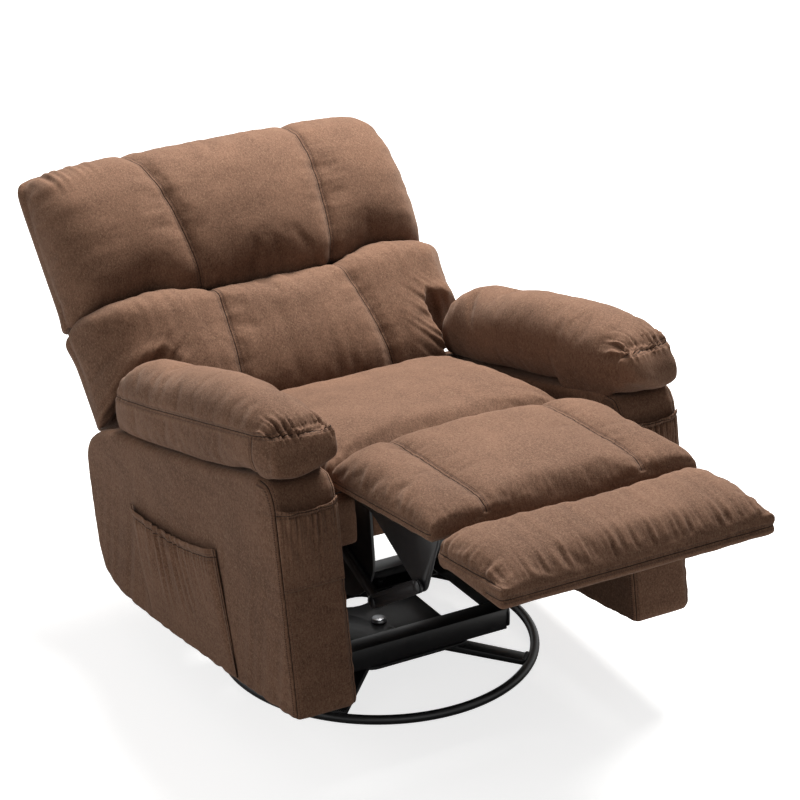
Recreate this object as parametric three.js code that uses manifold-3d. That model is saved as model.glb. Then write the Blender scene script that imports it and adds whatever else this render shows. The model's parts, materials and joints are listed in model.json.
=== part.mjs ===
// Swivel glider recliner, shown with its footrest open and its back let down.
// Millimetres, +Z up, the chair faces -Y, and the sitter's left is +X.
// The base stands square to the frame. The chair body on it is pitched back, so its pieces
// are drawn level in a group of their own and the group is turned.
import * as THREE from "three";
import { mergeVertices } from "three/addons/utils/BufferGeometryUtils.js";
import Module from "manifold-3d";

const wasm = await Module();
wasm.setup();

// Driving dimensions
const GAP = 0.3; // between touching pieces
const SWIVEL_Y = 47.73; // the swivel axis, behind the middle of the open chair
const BODY_PITCH = 6.7; // degrees, the body's lean to the rear
const RING_RADIUS = 290; // floor ring, centre of its tube
const RING_TUBE = 9;
const SPOKE_TOP = 30;
const CHANNEL_Y = 125; // cross channels, front and rear of the swivel axis
const GLIDE_Y = 95; // glide pivots, front and rear
const GLIDE_TOP = 200;
const GLIDE_LENGTH = 96;
const ARM_IN = 279; // inner face of an arm
const ARM_OUT = 402;
const SEAT_HALF = 262; // half width of the seat cushion and the footrest
const BACK_HALF = 378;
const SHELL_HALF = 358; // half width of the back's outside panel
const BACK_LEAN = 36; // degrees from the body's upright, at rest
const PLATE = 5; // thickness of the steel plates
const PLATE_IN = 206; // inner face of a mechanism side plate
const RIVET = 5; // pivot pin radius
const P1 = [-385, 460]; // footrest pivot, as y and z in the body's own frame
const CRANK = [-190, -100]; // from the footrest pivot to the strut's pin, and along the crank
const OFFSET = [160, -80]; // from the footrest pivot to the drive tube
const P3 = [-692, 474]; // flap hinge
const BACK_PIVOT = [130, 425];
const FRONT_STRETCHER = [-120, 310];
const REAR_STRETCHER = [60, 330];
const STRETCHER = 25;

const rad = THREE.MathUtils.degToRad;
const add = (a, b) => [a[0] + b[0], a[1] + b[1]];
const P2 = add(P1, OFFSET);
const Q2 = add(P1, CRANK);
const K = add(P2, CRANK);

// Materials
const material = (color, roughness, metalness) =>
  new THREE.MeshStandardMaterial({ color, roughness, metalness });
const fabric = () => material(0x7a5646, 0.95, 0);
const steel = () => material(0x17171a, 0.42, 0.7);
const zinc = () => material(0x8d9094, 0.35, 0.9);
const wood = () => material(0xb08a5a, 0.8, 0);
const wire = () => material(0x6e7073, 0.4, 0.9);
const plastic = () => material(0x202022, 0.5, 0);

// Solids
function toSolid(geometry) {
  const bare = geometry.clone();
  bare.deleteAttribute("normal");
  bare.deleteAttribute("uv");
  const merged = mergeVertices(bare, 1e-3);
  return new wasm.Manifold(
    new wasm.Mesh({
      numProp: 3,
      vertProperties: merged.attributes.position.array,
      triVerts: new Uint32Array(merged.index.array),
    }),
  );
}

function toGeometry(solid) {
  const mesh = solid.getMesh();
  const geometry = new THREE.BufferGeometry();
  geometry.setAttribute("position", new THREE.BufferAttribute(new Float32Array(mesh.vertProperties), 3));
  geometry.setIndex(new THREE.BufferAttribute(new Uint32Array(mesh.triVerts), 1));
  geometry.computeVertexNormals();
  return geometry;
}

const fuse = (...pieces) => toGeometry(pieces.map(toSolid).reduce((a, b) => a.add(b)));
const cut = (piece, ...tools) =>
  toGeometry(tools.map(toSolid).reduce((a, b) => a.subtract(b), toSolid(piece)));

// A box between two corners.
function block(low, high) {
  const size = low.map((v, i) => high[i] - v);
  return new THREE.BoxGeometry(...size).translate(...low.map((v, i) => (v + high[i]) / 2));
}

// An outline in y and z, given thickness from x0 to x1.
const SIDEWAYS = new THREE.Matrix4().makeBasis(
  new THREE.Vector3(0, 1, 0),
  new THREE.Vector3(0, 0, 1),
  new THREE.Vector3(1, 0, 0),
);
const slab = (shape, x0, x1, bevel = 0, curveSegments = 8) =>
  extruded(shape, x1 - x0, bevel, curveSegments).applyMatrix4(SIDEWAYS).translate(x0, 0, 0);

// A shape given depth upwards from z = 0, with its outline wound one way and its holes the other.
function extruded(shape, depth, bevel = 0, curveSegments = 8) {
  const drawn = shape.extractPoints(curveSegments);
  const wound = (points, clockwise) =>
    THREE.ShapeUtils.isClockWise(points) === clockwise ? points : points.reverse();
  const tidy = new THREE.Shape(wound(drawn.shape, false));
  tidy.holes = drawn.holes.map((hole) => new THREE.Path(wound(hole, true)));
  return new THREE.ExtrudeGeometry(tidy, {
    depth: depth - 2 * bevel,
    bevelEnabled: bevel > 0,
    bevelThickness: bevel,
    bevelSize: bevel,
    bevelOffset: -bevel,
    bevelSegments: 2,
  }).translate(0, 0, bevel);
}

const polygon = (points) => new THREE.Shape(points.map(([a, b]) => new THREE.Vector2(a, b)));

// A polygon whose corners are rounded, each by its own radius (third value) or by r.
function rounded(points, r) {
  const shape = new THREE.Shape();
  const count = points.length;
  points.forEach(([a, b, own], i) => {
    const before = new THREE.Vector2(...points[(i + count - 1) % count]);
    const after = new THREE.Vector2(...points[(i + 1) % count]);
    const corner = new THREE.Vector2(a, b);
    const reach = own ?? r;
    const into = before.sub(corner);
    const out = after.sub(corner);
    const start = corner.clone().add(into.clone().setLength(Math.min(reach, into.length() * 0.48)));
    const end = corner.clone().add(out.clone().setLength(Math.min(reach, out.length() * 0.48)));
    if (i === 0) shape.moveTo(start.x, start.y);
    else shape.lineTo(start.x, start.y);
    shape.quadraticCurveTo(a, b, end.x, end.y);
  });
  return shape;
}

// A round hole, as a path that doesn't repeat its first point.
function roundHole([a, b], r, sides = 12) {
  const points = [];
  for (let i = 0; i < sides; i++) {
    const turn = (-i * 2 * Math.PI) / sides;
    points.push(new THREE.Vector2(a + r * Math.cos(turn), b + r * Math.sin(turn)));
  }
  return new THREE.Path(points);
}

// A flat link with round ends between two pivots, with a hole of radius hole at each.
function link(from, to, half, x0, x1, holes) {
  const angle = Math.atan2(to[1] - from[1], to[0] - from[0]);
  const shape = new THREE.Shape();
  shape.absarc(from[0], from[1], half, angle + Math.PI / 2, angle + (3 * Math.PI) / 2, false);
  shape.absarc(to[0], to[1], half, angle - Math.PI / 2, angle + Math.PI / 2, false);
  [from, to].forEach((pivot, i) => {
    if (holes[i]) shape.holes.push(roundHole(pivot, holes[i]));
  });
  return slab(shape, x0, x1, 0, 5);
}

// A round bar along X at y and z.
const bar = (at, radius, x0, x1, sides = 12) =>
  new THREE.CylinderGeometry(radius, radius, x1 - x0, sides)
    .rotateZ(Math.PI / 2)
    .translate((x0 + x1) / 2, at[0], at[1]);

// A closed skin over rings of points, all with the same count, closed by a fan at each end.
function loft(rings) {
  const count = rings[0].length;
  const positions = rings.flat().flat();
  const index = [];
  for (let r = 0; r < rings.length - 1; r++) {
    for (let i = 0; i < count; i++) {
      const a = r * count + i;
      const b = r * count + ((i + 1) % count);
      index.push(a, b, a + count, b, b + count, a + count);
    }
  }
  [0, rings.length - 1].forEach((r, end) => {
    const middle = [0, 1, 2].map((axis) => rings[r].reduce((sum, p) => sum + p[axis], 0) / count);
    positions.push(...middle);
    const hub = positions.length / 3 - 1;
    for (let i = 0; i < count; i++) {
      const a = r * count + i;
      const b = r * count + ((i + 1) % count);
      index.push(...(end ? [a, b, hub] : [b, a, hub]));
    }
  });
  const geometry = new THREE.BufferGeometry();
  geometry.setAttribute("position", new THREE.BufferAttribute(new Float32Array(positions), 3));
  geometry.setIndex(index);
  const solid = toSolid(geometry);
  if (solid.volume() < 0) {
    for (let i = 0; i < index.length; i += 3) [index[i + 1], index[i + 2]] = [index[i + 2], index[i + 1]];
    geometry.setIndex(index);
  }
  geometry.computeVertexNormals();
  return geometry;
}

// A stuffed piece that runs across the chair. Its profile in y and z is drawn in towards its
// root line at both ends, its sides pull in between their corners, and the surface dips at
// each seam. profile points are [y, z, give], give being 1 where the stuffing swells.
function cushionAcross({ half, profile, root, seams = [], dip = 9, pull = 7, soft = 46, bulge = 6 }) {
  const stations = [-1, -0.985, -0.95, -0.88, -0.76];
  const places = [...stations.map((s) => s * half)];
  const inner = [-0.76 * half, ...seams.flatMap((s) => [s - 22, s, s + 22]), 0.76 * half];
  inner.slice(1, -1).forEach((x) => places.push(x));
  if (!seams.length) places.push(-0.4 * half, 0, 0.4 * half);
  else {
    const edges = [-0.76 * half, ...seams, 0.76 * half];
    for (let i = 0; i < edges.length - 1; i++) places.push((edges[i] + edges[i + 1]) / 2);
  }
  places.push(...stations.map((s) => -s * half));
  places.sort((a, b) => a - b);
  const middleY = profile.reduce((sum, p) => sum + p[0], 0) / profile.length;
  const reach = Math.max(...profile.map((p) => Math.abs(p[0] - middleY)));
  return loft(
    places.map((x) => {
      const fromEnd = half - Math.abs(x);
      const end = fromEnd >= soft ? 1 : Math.sqrt(1 - (1 - fromEnd / soft) ** 2);
      const fill = 0.42 + 0.58 * end;
      const seam = seams.reduce((least, s) => Math.min(least, Math.abs(x - s)), Infinity);
      const swell = seam < 22 ? -dip * (1 - seam / 22) : 0;
      const crown = bulge * Math.cos((Math.PI / 2) * Math.min(1, Math.abs(x) / half));
      return profile.map(([y, z, give = 1]) => {
        const drawn = pull * (1 - Math.min(1, Math.abs(y - middleY) / reach) ** 2) * (1 - end * 0.5);
        const near = [root[0] === null ? y : root[0], root[1] === null ? z : root[1]];
        const scale = 1 - give * (1 - fill);
        const out = [near[0] + (y - near[0]) * scale, near[1] + (z - near[1]) * scale];
        const away = new THREE.Vector2(out[0] - near[0], out[1] - near[1]).normalize();
        const lift = give * (swell + crown);
        const inward = fromEnd < soft ? Math.sign(x) * drawn : 0;
        return [x - inward, out[0] + away.x * lift, out[1] + away.y * lift];
      });
    }),
  );
}

const root = new THREE.Group();
const stand = new THREE.Group();
stand.position.y = SWIVEL_Y;
root.add(stand);
const body = new THREE.Group();
body.rotation.x = -rad(BODY_PITCH);
stand.add(body);
const back = new THREE.Group();
back.position.set(0, ...BACK_PIVOT);
back.rotation.x = -rad(BACK_LEAN);
body.add(back);

function place(group, name, geometry, finish) {
  const mesh = new THREE.Mesh(geometry, finish);
  mesh.name = name;
  group.add(mesh);
}

// The same piece on both sides: make gives the piece on the +X side, and its twin is mirrored.
function mirrored(geometry) {
  const twin = geometry.clone().scale(-1, 1, 1);
  const index = twin.index ? twin.index.array : null;
  if (index) {
    for (let i = 0; i < index.length; i += 3) [index[i + 1], index[i + 2]] = [index[i + 2], index[i + 1]];
    return twin;
  }
  const p = twin.attributes.position.array;
  for (let i = 0; i < p.length; i += 9) {
    for (let j = 0; j < 3; j++) [p[i + 3 + j], p[i + 6 + j]] = [p[i + 6 + j], p[i + 3 + j]];
  }
  return twin;
}
function placePair(group, name, geometry, finish) {
  place(group, name + "_left", mirrored(geometry), finish());
  place(group, name + "_right", geometry, finish());
}

// Floor ring: a tube bent to a circle, with a narrow flat along its underside.
function makeRing() {
  const sides = 8;
  const drop = RING_TUBE * Math.cos(Math.PI / sides);
  const profile = [];
  for (let i = 0; i <= sides; i++) {
    const turn = -Math.PI / 2 + Math.PI / sides + (i * 2 * Math.PI) / sides;
    profile.push(
      new THREE.Vector2(RING_RADIUS + RING_TUBE * Math.cos(turn), drop + RING_TUBE * Math.sin(turn)),
    );
  }
  place(stand, "base_ring", new THREE.LatheGeometry(profile, 48).rotateX(Math.PI / 2), steel());
}

// Four spokes rise from inside the ring to the hub plate.
function makeSpokes() {
  const half = 16;
  const reach = Math.sqrt((RING_RADIUS - RING_TUBE) ** 2 - half ** 2) - GAP;
  const outline = [
    [52, SPOKE_TOP],
    [112, SPOKE_TOP],
    [reach, 15],
    [reach, 4],
    [106, 16],
    [52, 16],
  ];
  const names = { front_right: -45, rear_right: 45, rear_left: 135, front_left: -135 };
  for (const [name, turn] of Object.entries(names)) {
    const spoke = slab(polygon(outline), -half, half, 2);
    spoke.rotateZ(-Math.PI / 2 + rad(turn));
    place(stand, "spoke_" + name, spoke, steel());
  }
}

function lathed(points, sides = 24) {
  const profile = [...points, points[0]].map(([r, z]) => new THREE.Vector2(r, z));
  return new THREE.LatheGeometry(profile, sides).rotateX(Math.PI / 2);
}

// Hub plate, the two races of the swivel bearing, and the bolt that holds them together.
// The upper race is pressed into the swivel plate.
function makeSwivel() {
  const hub = SPOKE_TOP + GAP;
  const square = rounded([[-78, -78], [78, -78], [78, 78], [-78, 78]], 34);
  const plate = extruded(square, 4.4, 0, 6).translate(0, 0, hub);
  const boltHole = new THREE.CylinderGeometry(8.4, 8.4, 40, 16).rotateX(Math.PI / 2).translate(0, 0, 38);
  place(stand, "hub_plate", cut(plate, boltHole), steel());
  place(
    stand,
    "lower_race",
    lathed([[30, 35], [62, 35], [66, 37], [66, 39.6], [58, 39.6], [54, 38], [50, 39.6], [30, 39.6]]),
    zinc(),
  );
  place(
    stand,
    "swivel_bolt",
    lathed([[0, 26], [8, 26], [8, 51.5], [15, 51.5], [15, 54], [12, 58], [0, 59.5]], 16),
    zinc(),
  );
  const oblong = rounded([[-112, -150], [112, -150], [112, 150], [-112, 150]], 30);
  const top = extruded(oblong, 4.8, 0, 6).translate(0, 0, 45.3);
  const oval = (x, y) =>
    new THREE.CylinderGeometry(26, 26, 20, 16).rotateX(Math.PI / 2).scale(1.3, 0.8, 1).translate(x, y, 48);
  const race = lathed([[30, 40.2], [49, 40.2], [54, 41.6], [59, 40.2], [70, 40.2], [70, 46], [30, 46]]);
  place(
    stand,
    "swivel_plate",
    cut(fuse(top, race), boltHole.clone().translate(0, 0, 8).scale(1.02, 1.02, 1), oval(0, 92), oval(0, -92)),
    steel(),
  );
}

// Two folded channels lie across the swivel plate and carry the hanger plates.
const CHANNEL_LOW = 50.4;
const CHANNEL_HIGH = 92;
const HANGER_IN = 190;
function makeCarriage() {
  for (const [name, side] of [["front", -1], ["rear", 1]]) {
    const wall = 3;
    const y = side * CHANNEL_Y;
    const section = polygon([
      [y - 20, CHANNEL_LOW],
      [y + 20, CHANNEL_LOW],
      [y + 20, CHANNEL_LOW + wall],
      [y - 20 + wall, CHANNEL_LOW + wall],
      [y - 20 + wall, CHANNEL_HIGH - wall],
      [y + 20, CHANNEL_HIGH - wall],
      [y + 20, CHANNEL_HIGH],
      [y - 20, CHANNEL_HIGH],
    ]);
    const channel = slab(section, -HANGER_IN + GAP, HANGER_IN - GAP);
    if (side > 0) channel.translate(0, -y, 0).scale(1, -1, 1).translate(0, y, 0);
    place(stand, name + "_cross_channel", side > 0 ? flipped(channel) : channel, steel());
  }
  const outline = [
    [-147, 54, 8],
    [147, 54, 8],
    [147, 90, 10],
    [116, 130, 30],
    [116, 216, 16],
    [74, 216, 16],
    [70, 128, 34],
    [-70, 128, 34],
    [-74, 216, 16],
    [-116, 216, 16],
    [-116, 130, 30],
    [-147, 90, 10],
  ];
  const plate = slab(rounded(outline, 10), HANGER_IN, HANGER_IN + PLATE, 0, 4);
  const pins = [-GLIDE_Y, GLIDE_Y].map((y) => bar([y, GLIDE_TOP], RIVET, HANGER_IN + 1, PLATE_IN - 1.2));
  placePair(stand, "hanger_plate", fuse(plate, ...pins), steel);
}

// Faces turned over, after a mirroring.
function flipped(geometry) {
  const p = geometry.attributes.position.array;
  for (let i = 0; i < p.length; i += 9) {
    for (let j = 0; j < 3; j++) [p[i + 3 + j], p[i + 6 + j]] = [p[i + 6 + j], p[i + 3 + j]];
  }
  return geometry;
}

// Four equal links hang the body from the hanger plates, so that it glides.
function makeGlideLinks() {
  for (const [name, y] of [["front", -GLIDE_Y], ["rear", GLIDE_Y]]) {
    const piece = link(
      [y, GLIDE_TOP],
      [y, GLIDE_TOP - GLIDE_LENGTH],
      13,
      PLATE_IN - 8,
      PLATE_IN - 3,
      [RIVET + 0.4, RIVET + 0.4],
    );
    placePair(stand, name + "_glide_link", piece, steel);
  }
}

// The same point in the body's own frame.
function inBody([y, z]) {
  const turn = rad(BODY_PITCH);
  return [y * Math.cos(turn) - z * Math.sin(turn), y * Math.sin(turn) + z * Math.cos(turn)];
}

// Side plates: one pressed plate a side carries the seat, the pivots of the footrest, the
// drive tube and the back, and the lower glide pivots.
function makeSidePlates() {
  const low = GLIDE_TOP - GLIDE_LENGTH;
  const [frontFoot, rearFoot] = [inBody([-GLIDE_Y, low]), inBody([GLIDE_Y, low])];
  const ear = 17;
  const outline = [
    [P1[0] - 13, P1[1] + 13, 13],
    [P1[0] + 14, P1[1] + 13, 13],
    [P1[0] + 22, 448, 12],
    [96, 448, 20],
    [BACK_PIVOT[0] + 2, BACK_PIVOT[1] + 22, 18],
    [BACK_PIVOT[0] + 24, BACK_PIVOT[1] + 6, 18],
    [BACK_PIVOT[0] + 12, 372, 30],
    [rearFoot[0] + 34, 220, 40],
    [rearFoot[0] + ear, rearFoot[1] - ear, 15],
    [rearFoot[0] - ear, rearFoot[1] - ear, 15],
    [rearFoot[0] - 30, 190, 40],
    [frontFoot[0] + 34, 186, 40],
    [frontFoot[0] + ear, frontFoot[1] - ear, 15],
    [frontFoot[0] - ear, frontFoot[1] - ear, 15],
    [frontFoot[0] - 46, 226, 40],
    [-340, 258, 40],
    [P1[0] - 13, 318, 30],
  ];
  const shape = rounded(outline, 10);
  shape.holes.push(roundHole(P2, 12.8, 16));
  const half = STRETCHER / 2 + GAP;
  for (const [y, z] of [FRONT_STRETCHER, REAR_STRETCHER]) {
    shape.holes.push(
      new THREE.Path([
        new THREE.Vector2(y - half, z - half),
        new THREE.Vector2(y - half, z + half),
        new THREE.Vector2(y + half, z + half),
        new THREE.Vector2(y + half, z - half),
      ]),
    );
  }
  const plate = slab(shape, PLATE_IN, PLATE_IN + PLATE, 0, 4);
  const flange = block([PLATE_IN, -300, 440], [PLATE_IN + 18, 60, 448]);
  const pins = [
    bar(frontFoot, RIVET, PLATE_IN - 9, PLATE_IN + 1),
    bar(rearFoot, RIVET, PLATE_IN - 9, PLATE_IN + 1),
    bar(P1, RIVET, PLATE_IN + 1, PLATE_IN + 14.5),
    bar(BACK_PIVOT, RIVET + 1, PLATE_IN + 1, PLATE_IN + 12.6),
  ];
  placePair(body, "side_plate", fuse(plate, flange, ...pins), steel);
}

// Square tubes tie the side plates together and carry the arms on their ends.
function makeStretchers() {
  for (const [name, [y, z]] of [["front", FRONT_STRETCHER], ["rear", REAR_STRETCHER]]) {
    const half = STRETCHER / 2;
    const corners = [[y - half, z - half], [y + half, z - half], [y + half, z + half], [y - half, z + half]];
    const shape = rounded(corners, 3);
    const bore = half - 2;
    shape.holes.push(
      new THREE.Path([
        new THREE.Vector2(y - bore, z - bore),
        new THREE.Vector2(y - bore, z + bore),
        new THREE.Vector2(y + bore, z + bore),
        new THREE.Vector2(y + bore, z - bore),
      ]),
    );
    place(body, name + "_stretcher", slab(shape, -ARM_IN + GAP, ARM_IN - GAP, 0, 2), steel());
  }
}

// Seat: four wooden rails, sinuous springs hooked across them, a padded front and a cushion.
const RAIL_LOW = 398;
const RAIL_HIGH = 446;
const SEAT_FRONT = -375;
const SEAT_REAR = 92;
function makeSeat() {
  const railIn = 181;
  const railOut = PLATE_IN - GAP;
  placePair(body, "seat_rail", block([railIn, SEAT_FRONT, RAIL_LOW], [railOut, SEAT_REAR, RAIL_HIGH]), wood);
  const across = railIn - GAP;
  const crossRail = (y) => block([-across, y, RAIL_LOW], [across, y + 25, RAIL_HIGH]);
  place(body, "seat_rail_front", crossRail(SEAT_FRONT), wood());
  place(body, "seat_rail_rear", crossRail(SEAT_REAR - 25), wood());

  const apronFront = SEAT_FRONT - 20;
  const apronRear = SEAT_FRONT - GAP;
  const apron = rounded(
    [[apronFront, 384, 12], [apronRear, 384, 4], [apronRear, 452, 4], [apronFront, 452, 12]],
    4,
  );
  place(body, "seat_apron", slab(apron, -railOut, railOut, 1.5, 3), fabric());

  const wireRadius = 2;
  const bends = 12;
  const amplitude = 24;
  const from = SEAT_FRONT + 12;
  const to = SEAT_REAR - 12;
  const height = RAIL_HIGH + GAP + wireRadius;
  [-126, -42, 42, 126].forEach((x, i) => {
    const points = [new THREE.Vector3(x, from, height)];
    const pitch = (to - from) / bends;
    for (let n = 0; n < bends; n++) {
      const side = n % 2 ? -1 : 1;
      const y = from + n * pitch;
      points.push(
        new THREE.Vector3(x + side * amplitude * 0.9, y + pitch * 0.12, height),
        new THREE.Vector3(x + side * amplitude, y + pitch * 0.5, height),
        new THREE.Vector3(x + side * amplitude * 0.9, y + pitch * 0.88, height),
      );
    }
    points.push(new THREE.Vector3(x, to, height));
    const path = new THREE.CatmullRomCurve3(points, false, "centripetal");
    const section = new THREE.Shape().absarc(0, 0, wireRadius, 0, Math.PI * 2, false);
    const spring = new THREE.ExtrudeGeometry(section, {
      steps: bends * 4,
      curveSegments: 3,
      extrudePath: path,
      bevelEnabled: false,
    });
    place(body, "seat_spring_" + (i + 1), spring, wire());
  });

  const low = height + wireRadius + GAP;
  place(
    body,
    "seat_cushion",
    cushionAcross({
      half: SEAT_HALF,
      root: [null, low],
      profile: [
        [112, low, 0],
        [-40, low, 0],
        [-200, low, 0],
        [-334, low, 0],
        [-342, 470],
        [-342, 492],
        [-330, 510],
        [-295, 522],
        [-220, 527],
        [-120, 524],
        [-20, 514],
        [60, 504],
        [100, 494],
        [115, 476],
      ],
    }),
    fabric(),
  );
}

// Drive tube with a crank welded on each end.
function makeDriveTube() {
  const side = PLATE_IN + PLATE + 3;
  const tube = bar(P2, 12, -side - 1, side + 1, 16);
  const crank = fuse(link(P2, K, 13, side, side + PLATE, [0, 0]), bar(K, RIVET, side + 1, side + 14));
  place(body, "drive_tube", fuse(tube, crank, mirrored(crank)), steel());
  const strut = link(K, Q2, 12, side + 7.5, side + 12.5, [RIVET + 0.4, RIVET + 1.2]);
  placePair(body, "footrest_strut", strut, steel);
}

// Footrest: a board with its pad, on two brackets that turn on the side plates.
const BOARD_LOW = 476;
const BOARD_HIGH = 490;
function makeFootrest() {
  const side = PLATE_IN + PLATE + 3;
  const outline = [
    [P1[0] + 13, P1[1] - 13, 12],
    [P1[0] + 13, BOARD_LOW - GAP, 3],
    [-640, BOARD_LOW - GAP, 3],
    [-640, 458, 10],
    [Q2[0] - 14, Q2[1] - 6, 12],
    [Q2[0] + 6, Q2[1] - 15, 12],
    [-470, 410, 50],
    [P1[0] - 30, P1[1] - 16, 20],
  ];
  const shape = rounded(outline, 8);
  shape.holes.push(roundHole(P1, RIVET + 0.4));
  const plate = slab(shape, side, side + PLATE, 0, 4);
  const flange = block([side, -640, BOARD_LOW - GAP - 4], [side + 26, P1[0] - 22, BOARD_LOW - GAP]);
  placePair(body, "footrest_bracket", fuse(plate, flange, bar(Q2, RIVET, side + 1, side + 14)), steel);

  const boardHalf = SEAT_HALF - 8;
  const board = slab(
    rounded([[-682, BOARD_LOW], [-350, BOARD_LOW], [-350, BOARD_HIGH], [-682, BOARD_HIGH]], 2),
    -boardHalf,
    boardHalf,
  );
  place(body, "footrest_board", board, wood());
  const low = BOARD_HIGH + GAP;
  const stuffed = cushionAcross({
    half: SEAT_HALF,
    root: [null, low],
    seams: [-150, 150],
    dip: 10,
    pull: 2,
    profile: [
      [-352, low, 0],
      [-460, low, 0],
      [-580, low, 0],
      [-684, low, 0],
      [-689, 502],
      [-684, 516],
      [-655, 527],
      [-590, 533],
      [-500, 538],
      [-430, 543],
      [-385, 545],
      [-360, 536],
      [-348, 515],
    ],
  });
  // The cover is pulled down over the board's front and sides, and notched for the hinges.
  const skirt = block([-SEAT_HALF, -689, BOARD_LOW], [SEAT_HALF, -352, low + 6]);
  const clear = boardHalf + GAP;
  const pocket = block([-clear, -682 - GAP, BOARD_LOW - 5], [clear, -340, low]);
  const notch = (x) => block([x - 34, -700, BOARD_LOW - 5], [x + 34, -680, 482]);
  const wrap = cut(skirt, pocket, notch(-170), notch(170));
  place(body, "footrest_pad", fuse(stuffed, wrap), fabric());
}

// Flap: a second board and pad, hinged to the footrest's front edge, that folds under.
function makeFlap() {
  const boardLow = 450;
  const boardHigh = 464;
  const half = SEAT_HALF - 8;
  place(body, "flap_board", block([-half, -888, boardLow], [half, -704, boardHigh]), wood());
  const low = boardHigh + GAP;
  const stuffed = cushionAcross({
    half: SEAT_HALF,
    root: [null, low],
    bulge: 4,
    pull: 2,
    profile: [
      [-704, low, 0],
      [-790, low, 0],
      [-888.5, low, 0],
      [-888.5, 430, 0],
      [-896, 427, 0],
      [-903, 434, 0],
      [-905, 462, 0.2],
      [-893, 477, 0.6],
      [-860, 491],
      [-800, 502],
      [-745, 506],
      [-712, 503],
      [-697, 492, 0.9],
      [-696, 482, 0.7],
      [-702, 475, 0.5],
    ],
  });
  const fold = polygon([[-903, 427], [-704, 447], [-704, low + 6], [-903, low + 6]]);
  const sides = slab(fold, -SEAT_HALF, SEAT_HALF);
  const clear = half + GAP;
  const wrap = cut(sides, block([-clear, -888 - GAP, 420], [clear, -690, low]));
  place(body, "flap_pad", fuse(stuffed, wrap), fabric());

  // Butt hinges: a knuckle on each board's edge, on one pin.
  const knuckle = (x, width) => bar(P3, 5, x - width / 2, x + width / 2, 12);
  for (const [side, x] of [["left", -170], ["right", 170]]) {
    const bore = bar(P3, 2.6, x - 60, x + 60, 12);
    const leafLow = BOARD_LOW - 2.3;
    const fixedLeaf = block([x - 32, -671, leafLow], [x + 32, -640, BOARD_LOW - GAP]);
    const tongue = block([x - 12, -690, leafLow], [x + 12, -670, BOARD_LOW - GAP]);
    place(body, "hinge_leaf_" + side, cut(fuse(fixedLeaf, tongue, knuckle(x, 24)), bore), steel());
    const foot = boardLow - 2.3;
    const swung = block([x - 32, -740, foot], [x + 32, -698, boardLow - GAP]);
    const web = (x0, x1) => slab(polygon([[-701, foot], [-697, foot], [-688.5, 471], [-693, 477]]), x0, x1);
    const pin = bar(P3, 2.4, x - 32, x + 32, 12);
    const turning = [knuckle(x - 21.5, 17), knuckle(x + 21.5, 17), pin];
    const moving = fuse(swung, web(x - 30, x - 13), web(x + 13, x + 30), ...turning);
    place(body, "flap_leaf_" + side, moving, steel());
  }
}

// Arms: an upholstered body with a stuffed pad over its top and front.
const ARM_TOP = [
  [-402, 524],
  [-354, 528],
  [-199, 500],
  [-95, 486],
  [47, 466],
  [190, 452],
];
function makeArms() {
  const outline = [
    [-445, 127, 12],
    [101, 127, 20],
    [262, 140, 60],
    [318, 178, 60],
    [329, 388, 44],
    [262, 438, 40],
    ...ARM_TOP.toReversed().map(([y, z]) => [y, z, 8]),
    [-419, 498, 14],
  ];
  const arm = slab(rounded(outline, 10), ARM_IN, ARM_OUT, 6, 3);
  // A padded block on the arm's inner side closes the gap beside the seat's front.
  const wingOutline = rounded([[-396, 380], [-352, 380], [-352, 466], [-396, 466]], 9);
  const wing = slab(wingOutline, 232, ARM_IN + 20, 4, 2);
  placePair(body, "arm", fuse(arm, wing), fabric);

  // The pad's stations along the arm: y, top, bottom, inner and outer half width.
  const middle = (ARM_IN + ARM_OUT) / 2 + 3;
  const stations = [
    [236, 498, 474, 26],
    [228, 524, 458, 46],
    [205, 542, 453, 60],
    [144, 580, 458, 66],
    [47, 612, 468, 68],
    [-60, 634, 484, 68],
    [-160, 647, 496, 68],
    [-260, 653, 513, 68],
    [-345, 652, 529, 68],
    [-400, 638, 528, 67],
    [-428, 614, 532, 64],
    [-446, 584, 540, 56],
    [-452, 562, 552, 30],
  ];
  const sides = 16;
  const rings = stations.map(([y, top, low, half]) => {
    const ring = [];
    for (let i = 0; i < sides; i++) {
      const turn = (i / sides) * Math.PI * 2 + Math.PI / sides;
      const square = 0.62;
      const c = Math.cos(turn);
      const s = Math.sin(turn);
      const x = middle + half * Math.sign(c) * Math.abs(c) ** square;
      const fullness = Math.sign(s) * Math.abs(s) ** (s > 0 ? 0.8 : 0.35);
      const up = (top + low) / 2 + ((top - low) / 2) * fullness;
      const toe = y < -380 ? ((x - middle) / half) * 10 : 0;
      ring.push([x, y + toe, up]);
    }
    return ring;
  });
  const armTop = ARM_TOP.map(([y, z]) => [y, z + GAP + 0.4]);
  const under = polygon([[-470, 400], [-470, 526], ...armTop, [262, 440], [262, 400]]);
  placePair(body, "arm_pad", cut(loft(rings), slab(under, ARM_IN - 30, ARM_OUT + 30)), fabric);
}

// A pocket: a panel held off the face behind it by its own turned-in sides and foot.
// It is drawn with its face to -Y, its back on y = 0 and its foot at z = 0.
function pocket(width, height, lean, deep, wall) {
  const outer = slab(
    polygon([[0, 0], [0, height], [-deep - lean, height], [-deep, 0]]),
    -width / 2,
    width / 2,
  );
  const inner = slab(
    polygon([[1, wall], [1, height + 1], [-deep - lean + wall, height + 1], [-deep + wall, wall]]),
    -width / 2 + wall,
    width / 2 - wall,
  );
  return cut(outer, inner);
}

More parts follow.
